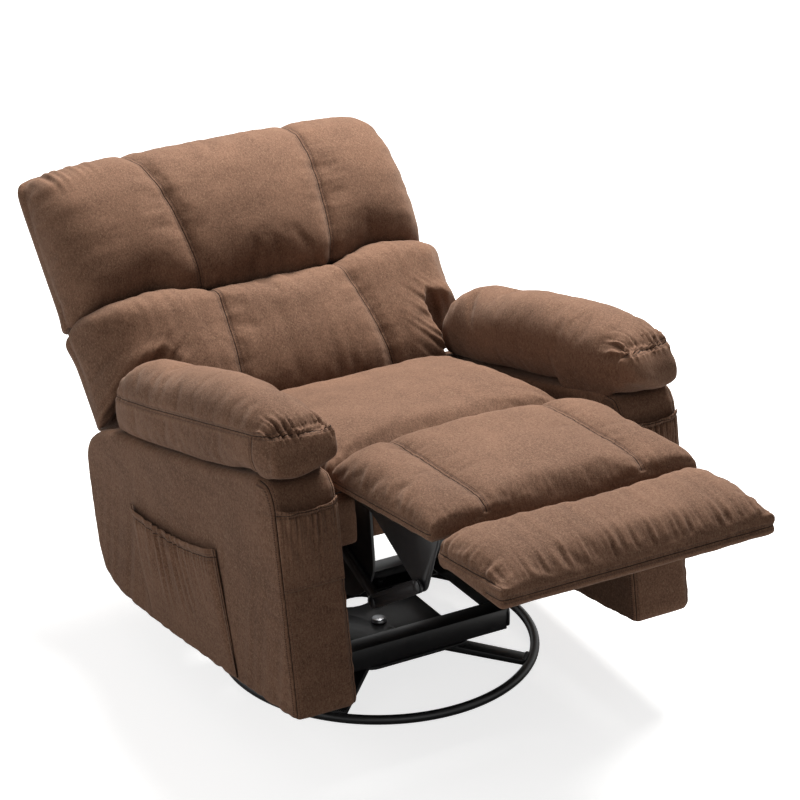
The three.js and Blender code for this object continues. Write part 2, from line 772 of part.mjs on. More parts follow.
const FRONT_LEAN = Math.atan2(26, 371);
function makePockets() {
  const wall = 2.5;
  const side = pocket(326, 206, 3, 10, wall)
    .applyMatrix4(new THREE.Matrix4().makeShear(0, 0, 0, 0, 0.13, 0))
    .rotateZ(Math.PI / 2)
    .rotateX(rad(2))
    .translate(ARM_OUT + GAP, -70, 132);
  placePair(body, "side_pocket", side, fabric);
  const front = pocket(112, 146, 9, 13, wall)
    .rotateX(-FRONT_LEAN)
    .translate((ARM_IN + ARM_OUT) / 2, -430.6 - GAP, 343);
  placePair(body, "front_pocket", front, fabric);
}

// The release: a loop handle in the crevice beside the seat, in a sleeve on the arm.
const PULL_X = -268.6;
const PULL_Y = -150;
function makeRelease() {
  const sleeve = block([-ARM_IN + GAP, PULL_Y - 24, 428], [-263.4, PULL_Y + 24, 452]);
  const slot = block([PULL_X - 3.6, PULL_Y - 16.5, 420], [PULL_X + 3.6, PULL_Y + 16.5, 460]);
  place(body, "pull_sleeve", cut(sleeve, slot), plastic());
  const loop = (foot, head, z0, z1, r) =>
    rounded([[PULL_Y - foot, z0], [PULL_Y + foot, z0], [PULL_Y + head, z1], [PULL_Y - head, z1]], r);
  const handle = slab(loop(34, 30, 506, 548, 16), PULL_X - 3, PULL_X + 3, 1, 4);
  const grip = slab(loop(22, 20, 517, 538, 9), PULL_X - 9, PULL_X + 9, 0, 4);
  const stem = block([PULL_X - 3, PULL_Y - 15.5, 408], [PULL_X + 3, PULL_Y + 15.5, 508]);
  place(body, "release_pull", fuse(cut(handle, grip), stem), plastic());
}

// Back, drawn upright in its own group: s is up from the pivot, t is forward of it.
const at = (s, t) => [-t, s];
const FRAME_REAR = -204;
const FRAME_FRONT = -166;
function makeBack() {
  // The bracket leaves the pivot under the cushion and rises along the frame's side.
  const bracket = [
    [-16, 15, 14],
    [13, 15, 14],
    [13, -8, 10],
    [5, -32, 10],
    [-5, -84, 20],
    [-7, FRAME_FRONT - 2, 6],
    [40, FRAME_FRONT - 6, 20],
    [196, FRAME_FRONT - 6, 12],
    [196, FRAME_REAR + 4, 12],
    [20, FRAME_REAR + 4, 30],
    [-36, -160, 30],
    [-36, -70, 30],
    [-24, -14, 20],
  ].map(([s, t, r]) => [...at(s, t), r]);
  const shape = rounded(bracket, 10);
  shape.holes.push(roundHole([0, 0], RIVET + 1.4));
  const side = PLATE_IN + PLATE + 3;
  placePair(back, "back_bracket", slab(shape, side, side + PLATE, 0, 4), steel);

  // Front view outlines, as x and s, pushed to their place in t.
  const flat = (outline, t0, t1, bevel = 0) =>
    extruded(outline, t1 - t0, bevel, 4).rotateX(Math.PI / 2).translate(0, -t0, 0);
  const narrow = side - GAP;
  const wide = 330;
  const window = (half, foot, head) =>
    new THREE.Path(rounded([[-half, foot], [half, foot], [half, head], [-half, head]], 10).getPoints(3));
  const frame = rounded(
    [
      [-narrow, 10],
      [narrow, 10],
      [narrow, 290],
      [wide, 320],
      [wide, 570],
      [-wide, 570],
      [-wide, 320],
      [-narrow, 290],
    ],
    14,
  );
  frame.holes.push(window(narrow - 32, 60, 280), window(wide - 50, 345, 524));
  place(back, "back_frame", flat(frame, FRAME_REAR, FRAME_FRONT), wood());

  const half = [
    [258, 4, 30],
    [262, 100, 20],
    [SHELL_HALF - 4, 124, 40],
    [SHELL_HALF, 606, 60],
  ];
  const otherHalf = half.toReversed().map(([x, s, r]) => [-x, s, r]);
  const shell = rounded([...half, ...otherHalf], 20);
  place(back, "back_shell", flat(shell, -222, FRAME_REAR - GAP, 5), fabric());

  const rootT = FRAME_FRONT + GAP;
  const upper = [
    [296, rootT, 0],
    [430, rootT, 0],
    [575, rootT, 0],
    [578, -200, 0],
    [602, -200, 0.3],
    [626, -184, 0.5],
    [633, -150, 0.6],
    [617, -98],
    [581, -51],
    [521, -18],
    [452, -6],
    [392, -8],
    [346, -22],
    [312, -54],
    [297, -108],
  ];
  const lower = [
    [6, rootT, 0],
    [150, rootT, 0],
    [289, rootT, 0],
    [290, -102],
    [283, -46],
    [261, -10],
    [220, 15],
    [152, 30],
    [92, 28],
    [46, 8],
    [16, -26],
    [4, -76],
    [2, -120],
  ];
  place(back, "back_cushion_upper", backCushion(upper, rootT, 100), fabric());
  place(back, "back_cushion_lower", backCushion(lower, rootT, 10), fabric());
}

// A tier of the back: three stuffed channels, thinner towards both sides. Past the arms,
// the lower tier's foot is lifted clear of them.
function backCushion(profile, rootT, lowest) {
  const seam = 155;
  const rims = [0, 6, 16].map((d) => d - BACK_HALF);
  const places = [...rims, -346, -332, -330.6, -300, -277, -262, -236, -232, -200, -178, -155, -132, -70, 0];
  const wrapFrom = lowest > 50 ? 331 : 234;
  const all = [...places, ...places.slice(0, -1).reverse().map((x) => -x)];
  return loft(
    all.map((x) => {
      const out = Math.abs(x);
      const fromEnd = BACK_HALF - out;
      const end = fromEnd >= 70 ? 1 : Math.sqrt(1 - (1 - fromEnd / 70) ** 2);
      const wing = Math.min(1, Math.max(0, (out - 262) / 15));
      const groove = Math.max(0, 1 - Math.abs(out - seam) / 23);
      const swell = 10 * Math.cos((Math.PI * Math.min(out, seam)) / (2 * seam)) - 8 * groove;
      const taper = out > seam ? 34 * ((out - seam) / (BACK_HALF - seam)) ** 2 : 0;
      return profile.map(([s, t, give = 1]) => {
        const depth = (t - rootT) * (1 - give * (1 - (0.4 + 0.6 * end)));
        const front = rootT + depth + give * (swell - taper);
        const foot = lowest > 50 ? s : Math.max(s, s + wing * Math.max(0, wingFoot(front) - s));
        const shrunk = (s - 440) * (1 - (s > 440 ? 0.08 : 0.02) * (1 - end)) + 440;
        const rise = lowest > 50 ? shrunk : Math.min(foot, 290 - (1 - end) * 6);
        const rear = WRAP_REAR + 36 * Math.max(0, 1 - fromEnd / 14) ** 2;
        if (!give && t === rootT && out > wrapFrom) return [x, -rear, rise];
        return [x, -Math.max(front, Math.min(t, rootT + 4), rear), rise];
      });
    }),
  );
}
const WRAP_REAR = FRAME_REAR + GAP; // past the frame's sides a tier reaches back to the shell
// How low the lower tier may reach past the arms, at a depth t.
const wingFoot = (t) => 118 + ((t + 200) / 220) * 76;

makeRing();
makeSpokes();
makeSwivel();
makeCarriage();
makeGlideLinks();
makeSidePlates();
makeStretchers();
makeSeat();
makeDriveTube();
makeFootrest();
makeFlap();
makeArms();
makePockets();
makeRelease();
makeBack();

export default root;
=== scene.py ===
"""Swivel glider recliner: upholstery, hardware and studio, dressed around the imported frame.

Metres, +Z up, the chair faces -Y and the sitter's left is +X. The seat, arms and footrest lie
in the body's own frame, which is pitched back, and the back in a frame of its own that leans.
"""

import json
import math

import bmesh
import bpy
import numpy as np
from mathutils import Matrix, Vector


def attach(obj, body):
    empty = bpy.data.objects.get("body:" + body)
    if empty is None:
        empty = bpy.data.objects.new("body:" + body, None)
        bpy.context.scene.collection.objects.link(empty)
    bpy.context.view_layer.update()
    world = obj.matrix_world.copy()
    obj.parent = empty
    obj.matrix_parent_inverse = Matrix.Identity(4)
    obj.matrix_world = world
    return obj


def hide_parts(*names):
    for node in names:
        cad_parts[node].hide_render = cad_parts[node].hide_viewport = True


bl_info = {
    "name": "Swivel glider recliner",
    "version": (1, 0, 0),
    "blender": (4, 5, 0),
    "location": "3D View > Sidebar > Recliner",
    "description": "Dresses a packed recliner frame with stuffed cushions, cloth and hardware",
    "category": "Object",
}

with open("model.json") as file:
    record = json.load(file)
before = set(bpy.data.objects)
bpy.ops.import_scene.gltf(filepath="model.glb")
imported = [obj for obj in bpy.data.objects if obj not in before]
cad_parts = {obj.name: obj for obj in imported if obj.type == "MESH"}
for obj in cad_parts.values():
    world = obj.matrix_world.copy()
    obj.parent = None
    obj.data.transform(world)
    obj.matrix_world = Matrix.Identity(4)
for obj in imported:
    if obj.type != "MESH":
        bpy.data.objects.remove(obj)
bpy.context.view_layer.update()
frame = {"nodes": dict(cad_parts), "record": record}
NODES = frame["nodes"]

# The chair's own frames, as in the solids
SWIVEL_Y = 0.04773
PITCH = math.radians(6.7)
LEAN = math.radians(36)
BACK_PIVOT = (0.130, 0.425)
SEAT_HALF = 0.262
BACK_HALF = 0.378
ARM_IN = 0.279
ARM_OUT = 0.402
FOOT_SEAM = 0.150
BACK_SEAM = 0.155


# Places and frames


def into_body(co):
    """World points as x, y, z in the pitched body's frame."""
    y = co[:, 1] - SWIVEL_Y
    z = co[:, 2]
    out = co.copy()
    out[:, 1] = y * math.cos(PITCH) - z * math.sin(PITCH)
    out[:, 2] = y * math.sin(PITCH) + z * math.cos(PITCH)
    return out


def from_body(co):
    out = co.copy()
    out[:, 1] = co[:, 1] * math.cos(PITCH) + co[:, 2] * math.sin(PITCH) + SWIVEL_Y
    out[:, 2] = -co[:, 1] * math.sin(PITCH) + co[:, 2] * math.cos(PITCH)
    return out


def into_back(co):
    """World points as x, t (forward of the back's pivot) and s (up the back)."""
    body = into_body(co)
    y = body[:, 1] - BACK_PIVOT[0]
    z = body[:, 2] - BACK_PIVOT[1]
    out = co.copy()
    out[:, 1] = -y * math.cos(LEAN) + z * math.sin(LEAN)
    out[:, 2] = y * math.sin(LEAN) + z * math.cos(LEAN)
    return out


def from_back(co):
    body = co.copy()
    t, s = co[:, 1], co[:, 2]
    body[:, 1] = BACK_PIVOT[0] - t * math.cos(LEAN) + s * math.sin(LEAN)
    body[:, 2] = BACK_PIVOT[1] + t * math.sin(LEAN) + s * math.cos(LEAN)
    return from_body(body)


FRAMES = {"body": (into_body, from_body), "back": (into_back, from_back)}


# Meshes


def coordinates(mesh):
    co = np.empty(len(mesh.vertices) * 3)
    mesh.vertices.foreach_get("co", co)
    return co.reshape(-1, 3)


def normals(mesh):
    n = np.empty(len(mesh.vertices) * 3)
    mesh.vertices.foreach_get("normal", n)
    return n.reshape(-1, 3)


def set_coordinates(mesh, co):
    mesh.vertices.foreach_set("co", np.ascontiguousarray(co, dtype=np.float64).ravel())
    mesh.update()


def linked(name, data):
    obj = bpy.data.objects.new(name, data)
    bpy.context.scene.collection.objects.link(obj)
    return obj


def mesh_from(bm, name):
    mesh = bpy.data.meshes.new(name)
    bm.to_mesh(mesh)
    bm.free()
    return mesh


def finished(bm, name, smooth=True):
    """A bmesh as an object, welded and with its faces turned out."""
    bmesh.ops.remove_doubles(bm, verts=bm.verts, dist=1e-6)
    bmesh.ops.recalc_face_normals(bm, faces=bm.faces)
    for face in bm.faces:
        face.smooth = smooth
    return linked(name, mesh_from(bm, name))


def node_bmesh(node):
    """A welded copy of a CAD node's mesh."""
    bm = bmesh.new()
    bm.from_mesh(NODES[node].data)
    bmesh.ops.remove_doubles(bm, verts=bm.verts, dist=1e-5)
    return bm


def smoothed(mesh):
    for face in mesh.polygons:
        face.use_smooth = True


def baked(obj):
    """The object's mesh with its modifiers applied."""
    bpy.context.view_layer.update()
    shown = obj.evaluated_get(bpy.context.evaluated_depsgraph_get())
    mesh = bpy.data.meshes.new_from_object(shown)
    obj.modifiers.clear()
    old = obj.data
    obj.data = mesh
    bpy.data.meshes.remove(old)
    smoothed(mesh)
    return obj


def subdivided(obj):
    mod = obj.modifiers.new("rounding", "SUBSURF")
    mod.levels = mod.render_levels = 1
    return baked(obj)


def remeshed(obj, cell):
    """The object's surface again in even cells."""
    mod = obj.modifiers.new("cells", "REMESH")
    mod.mode = "VOXEL"
    mod.voxel_size = cell
    return baked(obj)


def thickened(obj, thickness):
    mod = obj.modifiers.new("cloth", "SOLIDIFY")
    mod.thickness = thickness
    mod.offset = 0
    return baked(obj)


def neighbour_mean(mesh):
    """A function that gives the mean of a value over each vertex's neighbours."""
    edges = np.empty(len(mesh.edges) * 2, dtype=np.int64)
    mesh.edges.foreach_get("vertices", edges)
    a, b = edges.reshape(-1, 2).T
    count = len(mesh.vertices)
    degree = np.bincount(a, minlength=count) + np.bincount(b, minlength=count)

    def mean(value):
        return (np.bincount(a, value[b], count) + np.bincount(b, value[a], count)) / degree

    return mean


def relaxed(mesh, rounds):
    """Evens out a mesh by moving each vertex half way to its neighbours' mean."""
    mean = neighbour_mean(mesh)
    co = coordinates(mesh)
    for _ in range(rounds):
        co += 0.5 * (np.stack([mean(column) for column in co.T], 1) - co)
    set_coordinates(mesh, co)


CREST_HEIGHT = 0.00018


def crest(mesh):
    """How far each vertex stands out from its neighbours, from -1 in a crease to 1 on a crest."""
    mean = neighbour_mean(mesh)
    co = coordinates(mesh)
    value = ((co - np.stack([mean(column) for column in co.T], 1)) * normals(mesh)).sum(1)
    for _ in range(6):
        value = 0.5 * value + 0.5 * mean(value)
    return np.clip(value / CREST_HEIGHT, -1, 1)


def write_attribute(mesh, name, values):
    layer = mesh.attributes.get(name) or mesh.attributes.new(name, "FLOAT", "POINT")
    layer.data.foreach_set("value", np.asarray(values, dtype=np.float32))


# Smooth noise from a few waves with seeded phases


def between(values, low, high):
    """0 below low, 1 above high and smooth between them."""
    u = np.clip((values - low) / (high - low), 0, 1)
    return u * u * (3 - 2 * u)


def near(values, centre, width):
    """1 at centre, fading out smoothly to both sides."""
    return np.exp(-(((values - centre) / width) ** 2))


def rising(values, start, width):
    """0 below start and 1 from start + width on, straight between them."""
    return np.clip((values - start) / width, 0, 1)


def sinking(values, start, width):
    """1 below start and 0 from start + width on, straight between them."""
    return np.clip(1 - (values - start) / width, 0, 1)


def ripple(values, pitch, seed):
    """Irregular ridges along one direction, from -1 to 1."""
    rng = np.random.default_rng(seed)
    out = np.zeros_like(values)
    for i in range(5):
        wave = pitch * (0.62 + 0.22 * i)
        out += np.sin(values * (2 * math.pi / wave) + rng.uniform(0, 2 * math.pi))
    return out / 3.2


def drift(co, size, seed):
    """Soft unevenness in space, from -1 to 1, with lumps of about the given size."""
    rng = np.random.default_rng(seed)
    out = np.zeros(len(co))
    for _ in range(9):
        way = rng.normal(size=3)
        way /= np.linalg.norm(way)
        wave = size * rng.uniform(0.8, 2.0)
        out += np.sin(co @ way * (2 * math.pi / wave) + rng.uniform(0, 2 * math.pi))
    return out / 4.5


def pushed(mesh, amount):
    """Moves each vertex along its normal by amount, in metres."""
    set_coordinates(mesh, coordinates(mesh) + normals(mesh) * amount[:, None])


# Seams

FAR = 0.2  # the seam distance of cloth that no seam reaches
SEAM_WELD = 0.0004


class Seam:
    """A sewn line where a plane of a frame meets a piece.

    axis 0, 1 or 2 of the frame is at value, and leans from there by lean, an (axis, rate)
    pair. within, if given, says which points it reaches. along is the axis that its stitches
    are counted on.
    """

    def __init__(self, axis, value, along, depth, width, within=None, lean=(1, 0.0)):
        self.axis = axis
        self.value = value
        self.along = along
        self.depth = depth
        self.width = width
        self.within = within
        self.lean = lean

    def offset(self, local):
        """Signed distance of points from the sewn line's plane."""
        other, rate = self.lean
        rise = local[:, self.axis] - self.value - rate * local[:, other]
        return rise / math.hypot(1, rate)


def both_sides(value, along, depth, width, within=None, lean=(1, 0.0)):
    """A seam and its mirror image across the chair's middle."""
    other, rate = lean
    return [
        Seam(0, sign * value, along, depth, width, within, (other, sign * rate))
        for sign in (1, -1)
    ]


def plane_cut(bm, spot, across, dist):
    """Gives a bmesh an edge loop where a plane meets it."""
    geom = bm.verts[:] + bm.edges[:] + bm.faces[:]
    bmesh.ops.bisect_plane(bm, geom=geom, dist=dist, plane_co=spot, plane_no=across)


def cut_seams(obj, seams, where):
    """Gives the mesh an edge loop along each seam."""
    back = FRAMES[where][1]
    bm = bmesh.new()
    bm.from_mesh(obj.data)
    unit = back(np.array([[0.0, 0, 0], [1, 0, 0], [0, 1, 0], [0, 0, 1]]))
    for seam in seams:
        point = [0.0, 0.0, 0.0]
        point[seam.axis] = seam.value
        spot = back(np.array([point]))[0]
        other, rate = seam.lean
        across = unit[seam.axis + 1] - unit[0] - rate * (unit[other + 1] - unit[0])
        plane_cut(bm, spot, across, SEAM_WELD)
    bm.to_mesh(obj.data)
    bm.free()
    smoothed(obj.data)


def marked(mesh, distance, run):
    """Leaves the seams' distance, their run and the creases on the mesh for the cloth."""
    write_attribute(mesh, "seam_distance", distance)
    write_attribute(mesh, "seam_run", run)
    write_attribute(mesh, "crest", crest(mesh))


def sewn(obj, seams, where, extra):
    """Draws the seams in, raises the folds of extra and marks both for the cloth."""
    into, _ = FRAMES[where]
    cut_seams(obj, seams, where)
    mesh = obj.data
    local = into(coordinates(mesh))
    distance = np.full(len(local), FAR)
    run = np.zeros(len(local))
    sink = np.zeros(len(local))
    for seam in seams:
        d = np.abs(seam.offset(local))
        if seam.within is not None:
            d = np.where(seam.within(local), d, FAR)
        sink += seam.depth * near(d, 0, seam.width)
        closer = d < distance
        distance = np.where(closer, d, distance)
        run = np.where(closer, local[:, seam.along], run)
    pushed(mesh, -sink + extra(local, distance))
    marked(mesh, distance, run)
    return obj


# Stuffing


SWELL_FRAMES = 20
SWELL_CLOTH = {
    "quality": 4,
    "mass": 0.25,
    "tension_stiffness": 12,
    "compression_stiffness": 12,
    "shear_stiffness": 4,
    "bending_stiffness": 0.4,
    "use_pressure": True,
    "uniform_pressure_force": 4.0,
    "vertex_group_mass": "sewn",
}
SEAM_INSET = 0.004  # how far the loose cloth starts inside its solid


def swollen(obj, hold, slack):
    """Blows an object up as cloth; hold gives how firmly each vertex is sewn down."""
    group = obj.vertex_groups.new(name="sewn")
    for level in range(1, 11):
        chosen = np.nonzero(np.round(hold * 10) == level)[0]
        if len(chosen):
            group.add(chosen.tolist(), level / 10, "REPLACE")
    cloth = obj.modifiers.new("swell", "CLOTH")
    for key, value in SWELL_CLOTH.items():
        setattr(cloth.settings, key, value)
    cloth.settings.shrink_min = -slack
    cloth.settings.effector_weights.gravity = 0
    cloth.collision_settings.use_collision = False
    cloth.point_cache.frame_start = 1
    cloth.point_cache.frame_end = SWELL_FRAMES
    for step in range(1, SWELL_FRAMES + 1):
        bpy.context.scene.frame_set(step)
    baked(obj)
    obj.vertex_groups.clear()
    bpy.context.scene.frame_set(1)


def shaped(mesh, where, shape):
    """Moves a mesh's vertices by shape, which changes their places in a frame."""
    into, back = FRAMES[where]
    local = into(coordinates(mesh))
    shape(local)
    set_coordinates(mesh, back(local))


def stuffed(name, bm, where, pinned, cap, slack=0.02, rounds=6, shape=None):
    """A closed shell swollen by stuffing: remeshed, blown up as cloth and held to a cap.

    shape, if given, moves the places of the shell's vertices first. pinned gives, from their
    places in the frame where, how firmly each is sewn down (0 to 1). slack is how much longer
    the cloth is than the shell, which makes it gather.
    """
    obj = remeshed(finished(bm, name), bpy.context.scene.recliner_sizes.cell)
    mesh = obj.data
    if shape:
        shaped(mesh, where, shape)
    relaxed(mesh, rounds)
    into, _ = FRAMES[where]
    hold = np.clip(pinned(into(coordinates(mesh))), 0, 1)
    pushed(mesh, -SEAM_INSET * (1 - hold))
    start = coordinates(mesh)
    swollen(obj, hold, slack)
    mesh = obj.data
    moved = coordinates(mesh) - start
    length = np.linalg.norm(moved, axis=1)
    limit = np.where(length > 1e-9, cap * np.tanh(length / cap) / np.maximum(length, 1e-9), 1)
    set_coordinates(mesh, start + moved * limit[:, None])
    relaxed(mesh, 2)
    subdivided(obj)
    return obj


def reveal(obj, body, slot_name, *replaced, fill=None):
    """Sets a piece on its body, over the solids that it stands for."""
    if replaced:
        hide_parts(*replaced)
    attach(obj, body)
    return obj


# Material building blocks


class Wires:
    """Short ways to place and join shader nodes in a tree."""

    def __init__(self, tree):
        self.tree = tree

    def node(self, kind, **values):
        made = self.tree.nodes.new(kind)
        for key, value in values.items():
            setattr(made, key, value)
        return made

    def fill(self, node, **values):
        """Sets a node's inputs, named with _ for each space."""
        for key, value in values.items():
            self.set(node.inputs[key.replace("_", " ")], value)

    def set(self, socket, value):
        if isinstance(value, bpy.types.NodeSocket):
            self.tree.links.new(value, socket)
        elif value is not None:
            socket.default_value = value

    def math(self, operation, a, b=None, c=None):
        made = self.node("ShaderNodeMath", operation=operation)
        for socket, value in zip(made.inputs, (a, b, c)):
            self.set(socket, value)
        return made.outputs[0]

    def mix(self, factor, a, b):
        made = self.node("ShaderNodeMix", data_type="RGBA")
        self.set(made.inputs[0], factor)
        self.set(made.inputs[6], a)
        self.set(made.inputs[7], b)
        return made.outputs[2]

    def noise(self, vector, scale, detail=2.0, roughness=0.5):
        made = self.node("ShaderNodeTexNoise")
        self.fill(made, Vector=vector, Scale=scale, Detail=detail, Roughness=roughness)
        return made.outputs[0]

    def stretched(self, vector, scale, turn=(0, 0, 0)):
        made = self.node("ShaderNodeMapping")
        self.fill(made, Vector=vector, Scale=scale, Rotation=turn)
        return made.outputs[0]

    def ramp(self, value, low, high, to_low=0.0, to_high=1.0):
        made = self.node("ShaderNodeMapRange", interpolation_type="SMOOTHSTEP")
        for i, v in enumerate((value, low, high, to_low, to_high)):
            self.set(made.inputs[i], v)
        return made.outputs[0]

    def swing(self, value, amount, base):
        """base, moved by amount times value's distance from its middle."""
        return self.math("MULTIPLY_ADD", self.math("SUBTRACT", value, 0.5), amount, base)

    def relief(self, shader, height, strength, distance, under=None):
        """Bumps a shader's surface by height, over the normal of under."""
        bump = self.node("ShaderNodeBump")
        self.fill(bump, Strength=strength, Distance=distance, Height=height, Normal=under)
        self.set(shader.inputs["Normal"], bump.outputs["Normal"])
        return bump.outputs["Normal"]

    def attribute(self, name):
        made = self.node("ShaderNodeAttribute", attribute_name=name)
        return made.outputs["Fac"]


FLOAT, COLOUR, VECTOR = "NodeSocketFloat", "NodeSocketColor", "NodeSocketVector"


def node_group(name, inputs, outputs):
    """A group whose inputs are a vector, and numbers and colours with the defaults given.

    Its outputs are numbers, except for one named Colour.
    """
    group = bpy.data.node_groups.new(name, "ShaderNodeTree")
    for label, default in inputs.items():
        kind = VECTOR if default is None else COLOUR if isinstance(default, tuple) else FLOAT
        socket = group.interface.new_socket(label, in_out="INPUT", socket_type=kind)
        if default is not None:
            socket.default_value = default
    for label in outputs:
        kind = COLOUR if label == "Colour" else FLOAT
        group.interface.new_socket(label, in_out="OUTPUT", socket_type=kind)
    wires = Wires(group)
    return wires, wires.node("NodeGroupInput"), wires.node("NodeGroupOutput")


def make_nap_group():
    """Brushed chenille: clouds where the pile lies another way, flecks, and a fine ribbed grain."""
    w, given, out = node_group(
        "Brushed nap",
        {
            "Vector": None,
            "Dark": (0.1, 0.06, 0.045, 1),
            "Light": (0.3, 0.2, 0.15, 1),
            "Glint": (0.4, 0.3, 0.2, 1),
            "Crest": 0.0,
            "Clouds": 1.0,
        },
        ["Colour", "Roughness", "Height"],
    )
    at = given.outputs["Vector"]
    clouds = w.noise(at, 7.0, 3.0, 0.5)
    strokes = w.noise(w.stretched(at, (26, 9, 60)), 1.0, 3.0, 0.6)
    flecks = w.noise(w.stretched(at, (330, 200, 170)), 1.0, 3.0, 0.72)
    glints = w.ramp(w.noise(w.stretched(at, (520, 240, 240)), 1.0, 2.0, 0.6), 0.52, 0.74)
    warp = w.noise(w.stretched(at, (260, 1500, 1500)), 1.0, 1.0, 0.5)
    weft = w.noise(w.stretched(at, (1500, 420, 420)), 1.0, 1.0, 0.5)
    grain = w.math("MULTIPLY_ADD", warp, 0.6, w.math("MULTIPLY", weft, 0.4))
    tone = w.swing(clouds, given.outputs["Clouds"], 0.5)
    for marks, amount in ((strokes, 0.45), (flecks, 1.15), (grain, 1.5)):
        tone = w.swing(marks, amount, tone)
    # Tone follows the relief: lighter on crests, partly as rubbed wear and partly as painted light,
    # and darker in creases, as painted shade.
    tone = w.math("MULTIPLY_ADD", given.outputs["Crest"], 0.16, tone)
    tone.node.use_clamp = True
    pile = w.mix(tone, given.outputs["Dark"], given.outputs["Light"])
    # Glints mix specks towards a lighter golden colour: a painted highlight on the fibre ends.
    pile = w.mix(w.math("MULTIPLY", glints, 0.55), pile, given.outputs["Glint"])
    rough = w.math("MULTIPLY_ADD", flecks, -0.2, 0.98)
    height = w.math("MULTIPLY_ADD", flecks, 0.5, w.math("MULTIPLY", grain, 0.9))
    w.fill(out, Colour=pile, Roughness=rough, Height=height)


def make_stitch_group():
    """Topstitching beside a sewn line: rows of short threads in dimples, and the crease itself."""
    w, given, out = node_group(
        "Topstitching",
        {"Distance": FAR, "Run": 0.0, "Offset": 0.005, "Pitch": 0.0042},
        ["Thread", "Crease", "Height"],
    )
    distance = given.outputs["Distance"]
    row = w.math("ABSOLUTE", w.math("SUBTRACT", distance, given.outputs["Offset"]))
    line = w.ramp(row, 0.0003, 0.0009, 1.0, 0.0)
    step = w.math("FRACT", w.math("DIVIDE", given.outputs["Run"], given.outputs["Pitch"]))
    stroke = w.ramp(w.math("ABSOLUTE", w.math("SUBTRACT", step, 0.5)), 0.3, 0.4, 1.0, 0.0)
    thread = w.math("MULTIPLY", line, stroke)
    # The crease mask sinks the bump, and the cloth also uses it for painted shade in the crease.
    crease = w.ramp(distance, 0.0002, 0.0014, 1.0, 0.0)
    dimple = w.ramp(row, 0.0006, 0.0024, 1.0, 0.0)
    height = w.math("MULTIPLY_ADD", thread, 1.2, w.math("MULTIPLY", crease, -2.0))
    height = w.math("MULTIPLY_ADD", dimple, -0.8, height)
    w.fill(out, Thread=thread, Crease=crease, Height=height)


def make_wear_group():
    """Rubbed edges, dust and fine scuffs on metal, wood and plastic."""
    w, given, out = node_group(
        "Rubbed edges",
        {
            "Vector": None,
            "Base": (0.02, 0.02, 0.02, 1),
            "Worn": (0.1, 0.1, 0.1, 1),
            "Edge": 0.0,
            "Roughness": 0.4,
        },
        ["Colour", "Roughness", "Height"],
    )
    at = given.outputs["Vector"]
    cloud = w.noise(at, 14.0, 4.0, 0.6)
    peel = w.noise(at, 420.0, 2.0, 0.5)
    scuff = w.noise(w.stretched(at, (700, 60, 60), (0.4, 0.3, 0.2)), 1.0, 2.0, 0.5)
    chips = w.ramp(w.noise(at, 95.0, 4.0, 0.7), 0.58, 0.72)
    edge = w.ramp(given.outputs["Edge"], 0.75, 1.0)
    worn = w.math("MULTIPLY", edge, w.math("MULTIPLY", chips, 0.6))
    rubbed = w.math("MULTIPLY_ADD", w.ramp(scuff, 0.66, 0.85), 0.08, worn)
    colour = w.mix(rubbed, given.outputs["Base"], given.outputs["Worn"])
    rough = w.swing(scuff, 0.12, w.swing(cloud, 0.3, given.outputs["Roughness"]))
    height = w.math("MULTIPLY_ADD", worn, -0.5, peel)
    w.fill(out, Colour=colour, Roughness=rough, Height=height)


def new_material(name):
    material = bpy.data.materials.new(name)
    material.use_nodes = True
    material.node_tree.nodes.clear()
    w = Wires(material.node_tree)
    surface = w.node("ShaderNodeOutputMaterial")
    shader = w.node("ShaderNodeBsdfPrincipled")
    w.set(surface.inputs["Surface"], shader.outputs[0])
    at = w.node("ShaderNodeTexCoord").outputs["Object"]
    return w, shader, at


def use_group(w, name, **values):
    made = w.node("ShaderNodeGroup", node_tree=bpy.data.node_groups[name])
    w.fill(made, **values)
    return made.outputs


def rgba(colour, times=1.0):
    return (*(c * times for c in colour[:3]), 1.0)


def make_chenille(name, colours, sizes):
    """The upholstery cloth, with its stitching where a piece carries seams."""
    w, shader, at = new_material(name)
    nap = use_group(
        w,
        "Brushed nap",
        Vector=at,
        Dark=rgba(colours.cloth_dark),
        Light=rgba(colours.cloth_light),
        Glint=rgba(colours.cloth_glint),
        Crest=w.attribute("crest"),
        Clouds=0.55,
    )
    stitch = use_group(
        w,
        "Topstitching",
        Distance=w.attribute("seam_distance"),
        Run=w.attribute("seam_run"),
        Offset=sizes.stitch_offset,
        Pitch=sizes.stitch_pitch,
    )
    # The sewn crease is darkened towards a deep pile colour: painted shade.
    crease_shaded = w.mix(stitch["Crease"], nap["Colour"], rgba(colours.cloth_dark, 0.35))
    w.fill(
        shader,
        Base_Color=w.mix(stitch["Thread"], crease_shaded, rgba(colours.thread)),
        Roughness=nap["Roughness"],
        Sheen_Weight=0.13,
        Sheen_Roughness=0.45,
        Sheen_Tint=rgba(colours.sheen),
        Specular_IOR_Level=0.15,
    )
    pile = w.relief(shader, nap["Height"], 0.55, 0.0006)
    w.relief(shader, stitch["Height"], 0.8, 0.0007, pile)


def make_hard(name, base, worn, roughness, metallic, bump, coat=0.0):
    """Painted steel, plating, wire or plastic."""
    w, shader, at = new_material(name)
    wear = use_group(
        w,
        "Rubbed edges",
        Vector=at,
        Base=rgba(base),
        Worn=rgba(worn),
        Edge=w.attribute("edge"),
        Roughness=roughness,
    )
    w.fill(shader, Base_Color=wear["Colour"], Roughness=wear["Roughness"])
    w.fill(shader, Metallic=metallic, Coat_Weight=coat)
    w.relief(shader, wear["Height"], 0.4, bump)


